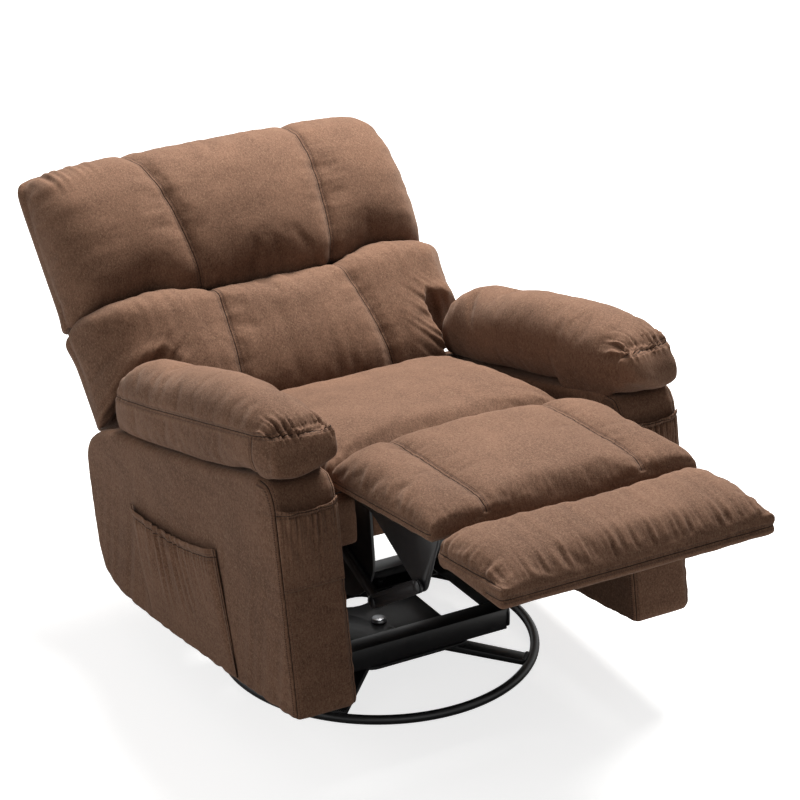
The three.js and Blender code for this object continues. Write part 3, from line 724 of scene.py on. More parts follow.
def make_plywood(name, base):
    w, shader, at = new_material(name)
    grain = w.noise(w.stretched(at, (5, 90, 90)), 1.0, 5.0, 0.6)
    rings = w.noise(w.stretched(at, (3, 22, 22)), 1.0, 2.0, 0.5)
    pores = w.noise(w.stretched(at, (60, 900, 900)), 1.0, 2.0, 0.5)
    tone = w.math("MULTIPLY_ADD", grain, 0.6, w.math("MULTIPLY", rings, 0.5))
    tone = w.math("MULTIPLY_ADD", w.ramp(pores, 0.6, 0.75), -0.25, tone)
    tone.node.use_clamp = True
    colour = w.mix(tone, rgba(base, 0.45), rgba(base, 1.15))
    w.fill(shader, Base_Color=colour, Roughness=w.math("MULTIPLY_ADD", grain, 0.25, 0.55))
    w.relief(shader, w.math("SUBTRACT", grain, w.math("MULTIPLY", pores, 0.4)), 0.5, 0.0003)


def make_lining(name, base):
    """The thin black cloth under the footrest and its flap."""
    w, shader, at = new_material(name)
    dots = w.node("ShaderNodeTexVoronoi")
    w.fill(dots, Vector=at, Scale=520.0)
    cell = w.ramp(dots.outputs["Distance"], 0.25, 0.6)
    fibre = w.noise(at, 300.0, 3.0, 0.7)
    tone = w.math("MULTIPLY_ADD", fibre, 0.7, w.math("MULTIPLY", cell, 0.3))
    colour = w.mix(tone, rgba(base, 0.5), rgba(base, 2.2))
    w.fill(shader, Base_Color=colour, Roughness=w.math("MULTIPLY_ADD", fibre, 0.1, 0.85))
    w.relief(shader, cell, 0.6, 0.0003)


def dress(obj, material_name):
    obj.data.materials.clear()
    obj.data.materials.append(bpy.data.materials[material_name])


# Sizes and colours


def length_value(name, description, default):
    return bpy.props.FloatProperty(
        name=name, description=description, default=default, unit="LENGTH"
    )


def colour_value(name, description, default):
    return bpy.props.FloatVectorProperty(
        name=name, description=description, default=default, subtype="COLOR"
    )


class ReclinerSizes(bpy.types.PropertyGroup):
    """Sizes of the cloth work and the hardware."""

    cell: length_value("Cushion cell", "Mesh cell of a stuffed piece", 0.0065)
    stitch_offset: length_value("Stitch offset", "Stitch row's distance from its seam", 0.005)
    stitch_pitch: length_value("Stitch pitch", "Length of one stitch", 0.0042)
    steel_edge: length_value("Plate edge", "Rounding of pressed plates", 0.0007)
    ring_tube: length_value("Ring tube", "Radius of the floor ring's tube", 0.0088)


class ReclinerColours(bpy.types.PropertyGroup):
    """Colours of the finishes."""

    cloth_dark: colour_value("Cloth, dark", "Pile seen against the nap", (0.050, 0.0225, 0.0125))
    cloth_light: colour_value("Cloth, light", "Pile seen with the nap", (0.200, 0.107, 0.067))
    # The glint colour is a painted highlight, mixed into the pile in specks.
    cloth_glint: colour_value("Cloth, glint", "Fibre ends that catch light", (0.235, 0.148, 0.092))
    thread: colour_value("Thread", "Topstitching thread", (0.085, 0.046, 0.031))
    sheen: colour_value("Sheen", "Light caught by the pile", (0.9, 0.72, 0.6))
    steel: colour_value("Steel paint", "Powder coat", (0.007, 0.007, 0.008))
    zinc: colour_value("Zinc", "Plated bearing, bolts and springs", (0.5, 0.51, 0.53))
    wood: colour_value("Plywood", "Stained boards", (0.15, 0.088, 0.052))


class RECLINER_OT_materials(bpy.types.Operator):
    """Make the cloth, paint, plating, wood and plastic"""

    bl_idname = "recliner.materials"
    bl_label = "Materials"

    def execute(self, context):
        colours = context.scene.recliner_colours
        make_nap_group()
        make_stitch_group()
        make_wear_group()
        make_chenille("Chenille", colours, context.scene.recliner_sizes)
        rubbed_paint = (0.022, 0.022, 0.024)
        make_hard("Black powder coat", colours.steel, rubbed_paint, 0.38, 0.0, 0.00006, 0.05)
        make_hard("Zinc plate", colours.zinc, (0.62, 0.62, 0.62), 0.3, 1.0, 0.00005)
        make_hard("Spring wire", (0.2, 0.2, 0.21), (0.4, 0.4, 0.4), 0.35, 1.0, 0.00005)
        make_hard("Black plastic", (0.02, 0.02, 0.022), (0.05, 0.05, 0.05), 0.45, 0.0, 0.0001)
        make_plywood("Plywood", colours.wood)
        make_lining("Black lining", (0.012, 0.012, 0.012))
        return {"FINISHED"}


# Steelwork

SLOT_FINISH = {
    "black_steel": "Black powder coat",
    "zinc": "Zinc plate",
    "spring_wire": "Spring wire",
    "wood": "Plywood",
    "black_plastic": "Black plastic",
}


def slot_of(node):
    return next(s["material_slot"] for s in frame["record"]["subparts"] if s["node"] == node)


def body_named(node):
    bodies = frame["record"]["behaviour"]["bodies"]
    return next(body for body, members in bodies.items() if node in members)


FLAT_ANGLE = math.radians(1.5)
CORNER_ANGLE = math.radians(32)
SHADED_ANGLE = math.radians(35)
WOOD_EDGE = 0.0012


def eased(bm, edges, offset):
    """Rounds edges over by offset."""
    return bmesh.ops.bevel(
        bm,
        geom=edges,
        offset=offset,
        offset_type="OFFSET",
        segments=2,
        profile=0.5,
        affect="EDGES",
        material=-1,
        clamp_overlap=True,
    )


def turned(bm, geom, centre, axis, steps):
    """Spins a profile right round."""
    bmesh.ops.spin(
        bm,
        geom=geom,
        cent=centre,
        axis=axis,
        dvec=(0, 0, 0),
        angle=2 * math.pi,
        steps=steps,
        use_merge=True,
        use_duplicate=False,
    )


def painted(bm, name, body, slot_name, smooth=True):
    """A small part of scene.py's own, set on its body."""
    obj = finished(bm, name, smooth)
    dress(obj, SLOT_FINISH[slot_name])
    return reveal(obj, body, slot_name)


def dressed(node, edge):
    """A rigid solid again with its edges eased, so that they catch the light."""
    bm = node_bmesh(node)
    bmesh.ops.dissolve_limit(
        bm,
        angle_limit=FLAT_ANGLE,
        use_dissolve_boundaries=False,
        verts=bm.verts[:],
        edges=bm.edges[:],
    )
    paired = [e for e in bm.edges if len(e.link_faces) == 2]
    corners = [e for e in paired if e.calc_face_angle(0) > CORNER_ANGLE]
    made = eased(bm, corners, edge)
    layer = bm.verts.layers.float.new("edge")
    for face in made["faces"]:
        for vert in face.verts:
            vert[layer] = 1.0
    for face in bm.faces:
        face.smooth = True
    mesh = mesh_from(bm, node + "_dressed")
    mesh.set_sharp_from_angle(angle=SHADED_ANGLE)
    obj = linked(node + "_dressed", mesh)
    slot_name = slot_of(node)
    dress(obj, SLOT_FINISH[slot_name])
    return reveal(obj, body_named(node), slot_name, node)


RING_RADIUS = 0.290
RING_FLAT = 0.0006
WELD_RADIUS = 0.2817


def floor_ring(sizes):
    """The round tube on the floor, one smooth bend with a flat worn along its underside."""
    tube = sizes.ring_tube
    bm = bmesh.new()
    section = bmesh.ops.create_circle(bm, segments=20, radius=tube)["verts"]
    upright = Matrix.Rotation(math.radians(90), 4, "X")
    bmesh.ops.transform(bm, verts=section, matrix=upright)
    bmesh.ops.translate(bm, verts=section, vec=(RING_RADIUS, SWIVEL_Y, tube))
    turned(bm, bm.verts[:] + bm.edges[:], (0, SWIVEL_Y, 0), (0, 0, 1), 144)
    for vert in bm.verts:
        vert.co.z = max(vert.co.z, RING_FLAT)
    ring = finished(bm, "floor_ring")
    dress(ring, "Black powder coat")
    return reveal(ring, "base", "black_steel", "base_ring")


def weld_beads():
    """Welds where the spokes meet the ring, each a row of flattened beads."""
    bm = bmesh.new()
    for quarter in range(4):
        turn = math.radians(45 + 90 * quarter)
        place = Matrix.Translation((0, SWIVEL_Y, 0)) @ Matrix.Rotation(turn, 4, "Z")
        for i in range(-4, 5):
            across = i * 0.0036
            reach = math.sqrt(WELD_RADIUS**2 - across**2) - 0.0015
            bead = bmesh.ops.create_uvsphere(bm, u_segments=10, v_segments=5, radius=1)["verts"]
            bmesh.ops.scale(bm, verts=bead, vec=(0.0042, 0.0026, 0.0022))
            bmesh.ops.translate(bm, verts=bead, vec=(reach, across, 0.0158))
            bmesh.ops.transform(bm, verts=bead, matrix=place)
    return painted(bm, "spoke_welds", "base", "black_steel")


RIVET_RADIUS = 0.0085
RIVET_HEIGHT = 0.0032
RIVET_WASHER = 1.35 * RIVET_RADIUS
RIVET_PROFILE = [
    (0.0, RIVET_WASHER),
    (0.0010, RIVET_WASHER),
    (0.0012, RIVET_RADIUS),
    (RIVET_HEIGHT * 0.7, RIVET_RADIUS * 0.86),
    (RIVET_HEIGHT * 0.95, RIVET_RADIUS * 0.5),
    (RIVET_HEIGHT, 0.0),
]
BOLT_WASHER = 0.0012


def rivet(bm, at, way):
    """A domed rivet head and its washer on the side of a plate, facing way (+1 or -1) along X."""
    first = [bm.verts.new((way * d, r, 0)) for d, r in RIVET_PROFILE]
    edges = [bm.edges.new(pair) for pair in zip(first, first[1:])]
    turned(bm, first + edges, (0, 0, 0), (1, 0, 0), 24)
    grown = [v for v in bm.verts if v.is_valid and not v.tag]
    bmesh.ops.translate(bm, verts=grown, vec=at)
    for v in grown:
        v.tag = True


def rivets(name, body, places):
    """Rivet heads at body-frame places, on both sides of the chair."""
    bm = bmesh.new()
    for place in places:
        x, y, z = from_body(np.array([place]))[0]
        rivet(bm, (x, y, z), 1)
        rivet(bm, (-x, y, z), -1)
    return painted(bm, name, body, "black_steel")


def cylinder(bm, at, segments, radius, depth):
    """An upright cylinder or prism standing on a place."""
    verts = bmesh.ops.create_cone(
        bm, cap_ends=True, segments=segments, radius1=radius, radius2=radius, depth=depth
    )["verts"]
    bmesh.ops.translate(bm, verts=verts, vec=(at[0], at[1], at[2] + depth / 2))
    return verts


def bolts(name, body, places, radius, height):
    """Hexagon heads on washers, standing at the places given."""
    bm = bmesh.new()
    for x, y, z in places:
        cylinder(bm, (x, y, z), 28, radius * 1.5, BOLT_WASHER)
        head = cylinder(bm, (x, y, z + BOLT_WASHER), 6, radius, height)
        rims = [e for v in head for e in v.link_edges if e.calc_face_angle(0) > 0.3]
        eased(bm, list(dict.fromkeys(rims)), 0.0006)
    return painted(bm, name, body, "black_steel", smooth=False)


class RECLINER_OT_steelwork(bpy.types.Operator):
    """Floor ring, spokes, plates, links, tubes and their fasteners"""

    bl_idname = "recliner.steelwork"
    bl_label = "Steelwork"

    def execute(self, context):
        sizes = context.scene.recliner_sizes
        floor_ring(sizes)
        weld_beads()
        for node in sorted(NODES):
            if node == "base_ring" or slot_of(node) == "upholstery":
                continue
            if node.startswith("seat_spring"):
                dress(NODES[node], "Spring wire")
                continue
            dressed(node, WOOD_EDGE if slot_of(node) == "wood" else sizes.steel_edge)
        plate, bracket = 0.2112, 0.2282
        rivets("side_plate_rivets", "chair", [(plate, -0.1063, 0.0922), (plate, 0.0822, 0.1144)])
        rivets("crank_rivets", "drive_tube", [(bracket, -0.415, 0.280)])
        rivets("board_rivets", "footrest", [(bracket, -0.575, 0.360)])
        for name, body, x, y, level, radius, height in (
            ("channel_bolts", "swivel_carriage", 0.075, 0.128, 0.0534, 0.0075, 0.0052),
            ("hub_bolts", "base", 0.055, 0.055, 0.0347, 0.0055, 0.0036),
        ):
            places = [(i * x, SWIVEL_Y + j * y, level) for i in (-1, 1) for j in (-1, 1)]
            bolts(name, body, places, radius, height)
        return {"FINISHED"}


# Upholstery

POCKET_WALL = 0.0077  # from a wrapped pad's side to the board inside it
POCKET_STEP = 0.00025
APRON_CELL = 0.004
PANEL_CELL = 0.006


def prism(bm, outline, half):
    """A closed block across the chair, from an outline of y and z in the body's frame."""
    rings = []
    for x in (-half, half):
        places = from_body(np.array([[x, y, z] for y, z in outline]))
        rings.append([bm.verts.new(p) for p in places])
    bm.faces.new(rings[0])
    bm.faces.new(rings[1][::-1])
    for i in range(len(outline)):
        j = (i + 1) % len(outline)
        bm.faces.new((rings[0][j], rings[0][i], rings[1][i], rings[1][j]))


def tucked(obj, front, half, level):
    """Presses the board's pocket up into a stuffed pad: behind front, within half, up to level."""
    unit = from_body(np.array([[0.0, 0, 0], [1, 0, 0], [0, 1, 0]]))
    step = POCKET_STEP
    bm = bmesh.new()
    bm.from_mesh(obj.data)
    for axis, value in (
        (1, front),
        (1, front + step),
        (0, half),
        (0, half - step),
        (0, -half),
        (0, step - half),
    ):
        spot = [0.0, 0.0, 0.0]
        spot[axis] = value
        plane_cut(bm, from_body(np.array([spot]))[0], unit[axis + 1] - unit[0], 1e-6)
    bm.to_mesh(obj.data)
    bm.free()
    local = into_body(coordinates(obj.data))
    inside = (np.abs(local[:, 0]) < half - step / 2) & (local[:, 1] > front + step / 2)
    low = inside & (local[:, 2] < level + 0.002)
    local[low, 2] = level
    set_coordinates(obj.data, from_body(local))
    smoothed(obj.data)


def cushion(name, node, body, hold, seams, where, cap, folds, fill, core=None, pocket=None, **more):
    """One stuffed piece from its plain solid, sewn, gathered and set on its body.

    core fills a wrapped pad while it is stuffed, and pocket then makes room for its board.
    """
    bm = node_bmesh(node)
    if core:
        prism(bm, core, SEAT_HALF - 0.001)
    obj = stuffed(name, bm, where, hold, cap, **more)
    sewn(obj, seams, where, folds)
    if pocket:
        tucked(obj, pocket[0], SEAT_HALF - POCKET_WALL, pocket[1])
    dress(obj, "Chenille")
    return reveal(obj, body, "upholstery", node, fill=fill)


def cloth_panel(name, node, body, seams, where, folds, cell, rounds, fill, shape=None, finer=True):
    """An upholstered solid that isn't blown up: cloth pulled over a hard or padded core."""
    obj = remeshed(finished(node_bmesh(node), name), cell)
    if shape:
        shaped(obj.data, where, shape)
    relaxed(obj.data, rounds)
    if finer:
        subdivided(obj)
    sewn(obj, seams, where, folds)
    dress(obj, "Chenille")
    return reveal(obj, body, "upholstery", node, fill=fill)


def seat_cushion():
    rear, front = 0.112, -0.342

    def hold(local):
        return sinking(local[:, 2], 0.4506, 0.008)

    def folds(local, distance):
        x, y, z = local.T
        top = rising(z, 0.475, 0.02)
        amount = 0.0016 * drift(local, 0.09, 11) * top
        amount += 0.0022 * ripple(x, 0.05, 12) * near(y, rear, 0.05) * top
        amount += 0.0018 * ripple(y, 0.035, 13) * near(np.abs(x), SEAT_HALF, 0.03) * top
        return amount + 0.0015 * ripple(x, 0.028, 14) * near(y, front, 0.035) * top

    seams = [Seam(2, 0.474, 0, 0.0035, 0.006)]
    cushion(
        "seat_cushion_cloth", "seat_cushion", "chair", hold, seams, "body", 0.012, folds, fill=0.7
    )


class RECLINER_OT_seat(bpy.types.Operator):
    """Seat cushion and the padded front rail"""

    bl_idname = "recliner.seat"
    bl_label = "Seat"

    def execute(self, context):
        seat_cushion()
        cloth_panel(
            "seat_apron_cloth",
            "seat_apron",
            "chair",
            [Seam(2, 0.443, 0, 0.001, 0.004)],
            "body",
            lambda local, distance: 0.0012 * drift(local, 0.06, 21),
            cell=APRON_CELL,
            rounds=4,
            fill=0.8,
            finer=False,
        )
        return {"FINISHED"}


def at_ends(local):
    """Whether places are on the side ends of the footrest's pads."""
    return np.abs(local[:, 0]) > 0.255


def footrest_cushion():
    low, front, rear = 0.4903, -0.6823, -0.352

    def hold(local):
        x, _, z = local.T
        seam = near(np.abs(x), FOOT_SEAM, 0.006)
        return np.maximum(sinking(z, low, 0.010), 0.6 * seam)

    def folds(local, distance):
        x, y, z = local.T
        top = rising(z - low, 0.008, 0.015)
        sides = near(np.abs(x), SEAT_HALF, 0.022)
        seams = near(distance, 0, 0.022)
        amount = 0.0009 * ripple(x, 0.016, 31) * near(y, -0.684, 0.026) * top
        amount += 0.0007 * ripple(x, 0.04, 32) * near(y, rear, 0.03) * top
        amount += 0.0014 * ripple(y + 0.5 * np.abs(x), 0.030, 33) * sides * top
        amount += 0.0006 * ripple(y, 0.024, 34) * seams * top
        return amount + 0.0015 * drift(local, 0.13, 35) * top

    def flattened(local):
        """The channels lie level, and the rear corners slope off."""
        x, y, z = local.T
        top = between(z, low + 0.01, low + 0.03)
        groove = near(np.abs(x), FOOT_SEAM, 0.018)
        corner = between(np.abs(x), 0.17, 0.25) * between(y, -0.46, -0.37)
        local[:, 2] += top * (0.004 * groove - 0.010 * corner)

    cushion(
        "footrest_cushion",
        "footrest_pad",
        "footrest",
        hold,
        [
            *both_sides(FOOT_SEAM, 1, 0.003, 0.006, lambda local: local[:, 2] > low + 0.012),
            Seam(2, low, 0, 0.0015, 0.004, at_ends),
        ],
        "body",
        0.012,
        folds,
        core=[(-0.688, 0.4765), (-0.353, 0.4765), (-0.353, 0.497), (-0.688, 0.497)],
        pocket=(front, low),
        shape=flattened,
        fill=0.7,
    )


def flap_cushion():
    low, front = 0.4643, -0.8883

    def hold(local):
        x, y, z = local.T
        at_front = (y < -0.889) & (np.abs(x) < 0.25)
        return np.where(at_front, rising(-z, -0.449, 0.004), sinking(z, low, 0.010))

    def folds(local, distance):
        x, y, z = local.T
        top = rising(z - low, 0.003, 0.01)
        gathered = near(y, -0.905, 0.045)
        amount = 0.0034 * ripple(x, 0.017, 41) * gathered * top
        amount += 0.0009 * ripple(x, 0.045, 42) * (1 - gathered) * top
        amount += 0.0016 * ripple(x, 0.03, 43) * near(y, -0.699, 0.03) * top
        amount += 0.002 * ripple(y, 0.026, 44) * near(np.abs(x), SEAT_HALF, 0.03) * top
        band = (y < -0.885) & (z < 0.447)
        amount += np.where(band, 0.0012 * drift(local, 0.05, 45), 0)
        return amount + 0.0018 * drift(local, 0.1, 46) * top

    cushion(
        "flap_cushion",
        "flap_pad",
        "flap",
        hold,
        [
            Seam(2, 0.447, 0, 0.003, 0.005, lambda local: local[:, 1] < -0.85),
            Seam(2, 0.4685, 1, 0.002, 0.004, at_ends),
        ],
        "body",
        0.012,
        folds,
        core=[(-0.902, 0.4275), (-0.705, 0.4475), (-0.705, 0.47), (-0.902, 0.47)],
        pocket=(front, low),
        slack=0.03,
        fill=0.75,
    )


class RECLINER_OT_footrest(bpy.types.Operator):
    """The footrest's pad and the flap's pad"""

    bl_idname = "recliner.footrest"
    bl_label = "Footrest"

    def execute(self, context):
        footrest_cushion()
        flap_cushion()
        return {"FINISHED"}


# The back's two tiers, with the crease between them and the panel behind them
BACK_ROOT = -0.1657
BACK_CREASE = 0.30
BACK_HEAD = 0.61
TIER_HEIGHT = 0.31


def back_form(local, at_top, at_foot, lip, rim, fill, spread):
    """Bends a tier of the back: its seams lean, and the crease between the tiers arches outwards.

    at_top and at_foot are the seams' places at the head and the crease. At the crease the
    tier's edge moves up by lip, and its face stands out by fill, most at s = rim and fading
    over spread.
    """
    x, t, s = local.T
    sewn_at = at_foot + (at_top - at_foot) * (s - BACK_CREASE) / TIER_HEIGHT
    out = np.abs(x)
    inner = out * sewn_at / BACK_SEAM
    outer = BACK_HALF - (BACK_HALF - out) * (BACK_HALF - sewn_at) / (BACK_HALF - BACK_SEAM)
    face = between(t, -0.15, -0.11)
    moved = np.where(out < BACK_SEAM, inner, outer)
    local[:, 0] = np.sign(x) * (out + (moved - out) * face)
    bow = 0.026 * between(out, 0.13, 0.27) - 0.009 * between(out, 0.31, 0.378)
    local[:, 2] += bow * near(s, 0.295, 0.10)
    edge = between(s, 0.2, 0.28) if lip > 0 else between(-s, -0.36, -0.31)
    aside = between(out, 0.22, 0.32)
    shut = between(t, -0.10, -0.05) * (1 - aside) + between(t, -0.165, -0.135) * aside
    local[:, 2] += lip * edge * shut
    fuller = fill * (1 + 0.4 * aside)
    local[:, 1] += fuller * near(s, rim, spread) * between(t, -0.15, -0.08)
    ends = between(out, 0.335, 0.375) * near(s, BACK_CREASE, 0.030)
    local[:, 0] += np.sign(x) * 0.009 * ends


def tier_hold(local, foot, rate, level):
    """How firmly a tier is sewn down at its root and along its seams."""
    x, t, s = local.T
    line = np.abs(x) - foot - rate * (s - level)
    return np.maximum(sinking(t, BACK_ROOT, 0.012), 0.8 * near(line, 0, 0.008) * (t > -0.14))


def tier_seams(foot, rate, level, depth, width):
    at = foot - level * rate
    return both_sides(at, 2, depth, width, lambda p: p[:, 1] > -0.15, (2, rate))


def upper_back():
    top, foot = 0.172, 0.138
    rate = (top - foot) / TIER_HEIGHT
    level = BACK_CREASE

    def hold(local):
        return tier_hold(local, foot, rate, level)

    def folds(local, distance):
        x, t, s = local.T
        head = near(s, BACK_HEAD, 0.04)
        corner = near(x, -0.31, 0.05) * head
        amount = 0.0008 * ripple(s, 0.04, 51) * near(distance, 0, 0.03)
        amount += 0.0008 * ripple(x, 0.04, 52) * near(s, BACK_CREASE, 0.05)
        amount += 0.0005 * ripple(x, 0.035, 53) * head
        amount += 0.0040 * ripple(x, 0.024, 54) * corner
        amount += 0.0010 * ripple(s, 0.045, 55) * near(np.abs(x), BACK_HALF, 0.035)
        return (amount + 0.0017 * drift(local, 0.16, 56)) * rising(t, BACK_ROOT, 0.03)

    def form(local):
        back_form(local, top, foot, -0.016, 0.326, 0.014, 0.050)

    cushion(
        "upper_back_cushion",
        "back_cushion_upper",
        "back",
        hold,
        tier_seams(foot, rate, level, 0.005, 0.008),
        "back",
        0.016,
        folds,
        shape=form,
        fill=0.7,
    )


def lower_back():
    top, foot = 0.129, 0.160
    rate = (top - foot) / 0.25
    level = 0.04

    def form(local):
        """The tier's seams, crease and lip, with the step past the arms worn smooth."""
        back_form(local, 0.098, 0.1315, 0.014, 0.280, 0.016, 0.036)
        x, s = local[:, 0], local[:, 2]
        low = 1 - between(s, 0.10, 0.15)
        local[:, 0] += np.sign(x) * 0.012 * low * between(np.abs(x), 0.20, 0.262)
        wing = between(np.abs(x), 0.262, 0.285) * (1 - between(s, 0.20, 0.26))
        local[:, 2] -= 0.016 * wing

    def hold(local):
        x, _, s = local.T
        wing = 0.8 * (np.abs(x) > 0.268) * (s < 0.2)
        sewn_down = tier_hold(local, foot, rate, level)
        return np.maximum.reduce([sewn_down, sinking(s, 0.004, 0.01), wing])

    def folds(local, distance):
        x, t, s = local.T
        head = near(s, 0.285, 0.05)
        side = rising(np.abs(x), 0.2, 0.08) * near(s, 0.1, 0.09)
        amount = 0.0007 * ripple(x, 0.045, 61) * (1 - head)
        amount += 0.0009 * ripple(x, 0.032, 62) * head
        amount += 0.0014 * ripple(x, 0.05, 63) * near(s, 0.05, 0.07)
        amount += 0.0034 * ripple(s + 0.9 * np.abs(x), 0.030, 64) * side
        amount += 0.0006 * ripple(s, 0.035, 65) * near(distance, 0, 0.03)
        return (amount + 0.0026 * drift(local, 0.13, 66)) * rising(t, BACK_ROOT, 0.03)

    cushion(
        "lower_back_cushion",
        "back_cushion_lower",
        "back",
        hold,
        tier_seams(foot, rate, level, 0.004, 0.007),
        "back",
        0.014,
        folds,
        shape=form,
        fill=0.7,
    )


class RECLINER_OT_back(bpy.types.Operator):
    """The back's two stuffed tiers and its outside panel"""

    bl_idname = "recliner.back"
    bl_label = "Back"

    def execute(self, context):
        upper_back()
        lower_back()
        cloth_panel(
            "outside_back",
            "back_shell",
            "back",
            [*both_sides(0.30, 2, 0.002, 0.004), Seam(2, 0.57, 0, 0.002, 0.004)],
            "back",
            lambda local, distance: 0.0012 * drift(local, 0.12, 71),
            cell=PANEL_CELL,
            rounds=3,
            fill=0.4,
        )
        return {"FINISHED"}


# Arms

PAD_SEAM = 0.552
PAD_TILT = -0.144
PIPING = 0.0062  # from an arm's side to the seam round its front


def over_seam(y, z):
    """Height over the sewn line round an arm's pad."""
    return z - PAD_SEAM - PAD_TILT * y


def arm_body(side, sign):
    def folds(local, distance):
        x, y, z = local.T
        outer = rising(sign * x, 0.37, 0.02)
        low = rising(-z, -0.45, 0.25)
        high = between(z, 0.34, 0.44) * between(y, -0.42, -0.37)
        under_pad = between(y, -0.42, -0.40) * between(z + 0.16 * y, 0.455, 0.475)
        amount = 0.0016 * drift(local, 0.17, 81) * outer
        amount += 0.0009 * ripple(y + 0.25 * z, 0.05, 82) * outer * low
        amount += 0.004 * outer * high * (1 - 0.5 * under_pad)
        return amount + 0.0006 * ripple(z, 0.03, 83) * near(distance, 0, 0.02)

    def longer(local):
        """The cloth sags a little past the arm's rear and foot."""
        y, z = local[:, 1], local[:, 2]
        local[:, 1] += 0.024 * between(y, 0.05, 0.32)
        local[:, 2] -= 0.013 * between(-z, -0.24, -0.13)

    def at_front(local):
        return local[:, 1] < -0.37

    cloth_panel(
        "arm_%s_cloth" % side,
        "arm_" + side,
        "chair",
        [
            Seam(0, sign * place, 2, 0.0022, 0.004, at_front)
            for place in (ARM_OUT - PIPING, ARM_IN + PIPING)
        ],
        "body",
        folds,
        cell=PANEL_CELL,
        rounds=2,
        fill=0.5,
        shape=longer,
    )


# Where an arm pad's foot is sewn to the arm, along y
PAD_FOOT = ([-0.402, -0.199, 0.047, 0.19], [0.526, 0.502, 0.468, 0.454])


def arm_pad(side, sign):
    node = "arm_pad_" + side
    back_room = {"left": 0.010, "right": 0.003}[side]

    def hold(local):
        x, y, z = local.T
        rise = over_seam(y, z)
        reach = (sign * x > 0.35) | (y < -0.42)
        front = 0.6 * (y < -0.42) * (z < PAD_SEAM + PAD_TILT * y)
        base = sinking(z, np.interp(y, *PAD_FOOT), 0.012)
        return np.maximum.reduce([base, 0.8 * near(rise, 0, 0.007) * reach, front])

    def gathers(local, distance):
        x, y, z = local.T
        rise = over_seam(y, z)
        nose = rising(-y, 0.33, 0.06)
        tail = rising(y, 0.12, 0.06)
        above = np.where(rise > 0, near(rise, 0, 0.036), near(rise, 0, 0.012))
        outer = rising(sign * x, 0.36, 0.03)
        front = rising(-y, 0.36, 0.04)
        amount = 0.0048 * ripple(x + 0.2 * y, 0.0095, 91) * above * nose * front
        amount += 0.0012 * ripple(y, 0.022, 92) * above * outer * (0.15 + nose + tail)
        amount += 0.0016 * ripple(x, 0.03, 93) * tail
        return amount + 0.0022 * drift(local, 0.16, 95)

    def plump(local):
        """The pad's crown is fuller at the rear, and its inner foot clears the raised back."""
        y, z = local[:, 1], local[:, 2]
        band = 1 - between(over_seam(y, z), -0.015, 0.004)
        rim = between(sign * local[:, 0], 0.388, 0.404) * between(y, -0.44, -0.40)
        local[:, 2] -= 0.009 * band * rim
        local[:, 0] -= sign * 0.003 * band * rim
        inner = between(-sign * local[:, 0], -0.36, -0.29)
        local[:, 2] += 0.020 * band * inner * between(-y, 0.405, 0.435)
        droop = between(-sign * local[:, 0], -0.305, -0.283) * between(-y, 0.20, 0.23)
        local[:, 2] -= 0.022 * band * droop * (1 - between(-y, 0.37, 0.40))
        tucked_in = between(y, 0.08, 0.13) * (1 - between(z, 0.540, 0.575))
        inner = between(-sign * local[:, 0], -0.33, -0.29)
        local[:, 0] += sign * back_room * tucked_in * inner
        over = between(z, 0.49, 0.56)
        local[:, 2] += 0.014 * over * between(y, 0.02, 0.13) * (1 - between(y, 0.18, 0.21))
        local[:, 1] += 0.008 * over * between(y, 0.12, 0.18)

    def around(local):
        return (sign * local[:, 0] > 0.352) | (local[:, 1] < -0.425)

    def corner(local):
        below = local[:, 2] < PAD_SEAM + PAD_TILT * local[:, 1] - 0.004
        return below & (sign * local[:, 0] > 0.375)

    cushion(
        node + "_cushion",
        node,
        "chair",
        hold,
        [
            Seam(2, PAD_SEAM, 1, 0.004, 0.005, around, (1, PAD_TILT)),
            Seam(1, -0.366, 2, 0.002, 0.004, corner),
        ],
        "body",
        0.012,
        gathers,
        slack=0.015,
        rounds=4,
        shape=plump,
        fill=0.8,
    )


SIDES = (("right", 1), ("left", -1))


class RECLINER_OT_arms(bpy.types.Operator):
    """Upholstered arms and the stuffed pads over them"""

    bl_idname = "recliner.arms"
    bl_label = "Arms"

    def execute(self, context):
        for side, sign in SIDES:
            arm_body(side, sign)
            arm_pad(side, sign)
        return {"FINISHED"}


# Pockets

POCKET_THICKNESS = 0.0024


def cloth_grid(name, columns, rows, thickness, place):
    """A sheet of cloth: place turns a grid from -1 to 1 both ways into the body's frame."""
    bm = bmesh.new()
    bmesh.ops.create_grid(bm, x_segments=columns, y_segments=rows, size=1)
    mesh = mesh_from(bm, name)
    u, v, _ = coordinates(mesh).T
    set_coordinates(mesh, from_body(place(u, v)))
    return thickened(linked(name, mesh), thickness)


def pocket_cloth(name, node, columns, rows, place, stitching):
    """A sewn-on pocket in place of its solid.

    place turns u, from -1 to 1 across, and v, from 0 to 1 up, into the body's frame, and
    stitching gives the distance and the run of its seams from places there.
    """
    obj = cloth_grid(name, columns, rows, POCKET_THICKNESS, lambda u, v: place(u, (v + 1) / 2))
    bm = bmesh.new()
    bm.from_mesh(obj.data)
    bmesh.ops.recalc_face_normals(bm, faces=bm.faces)
    bm.to_mesh(obj.data)
    bm.free()
    subdivided(obj)
    marked(obj.data, *stitching(*into_body(coordinates(obj.data)).T))
    dress(obj, "Chenille")
    return reveal(obj, "chair", "upholstery", node)


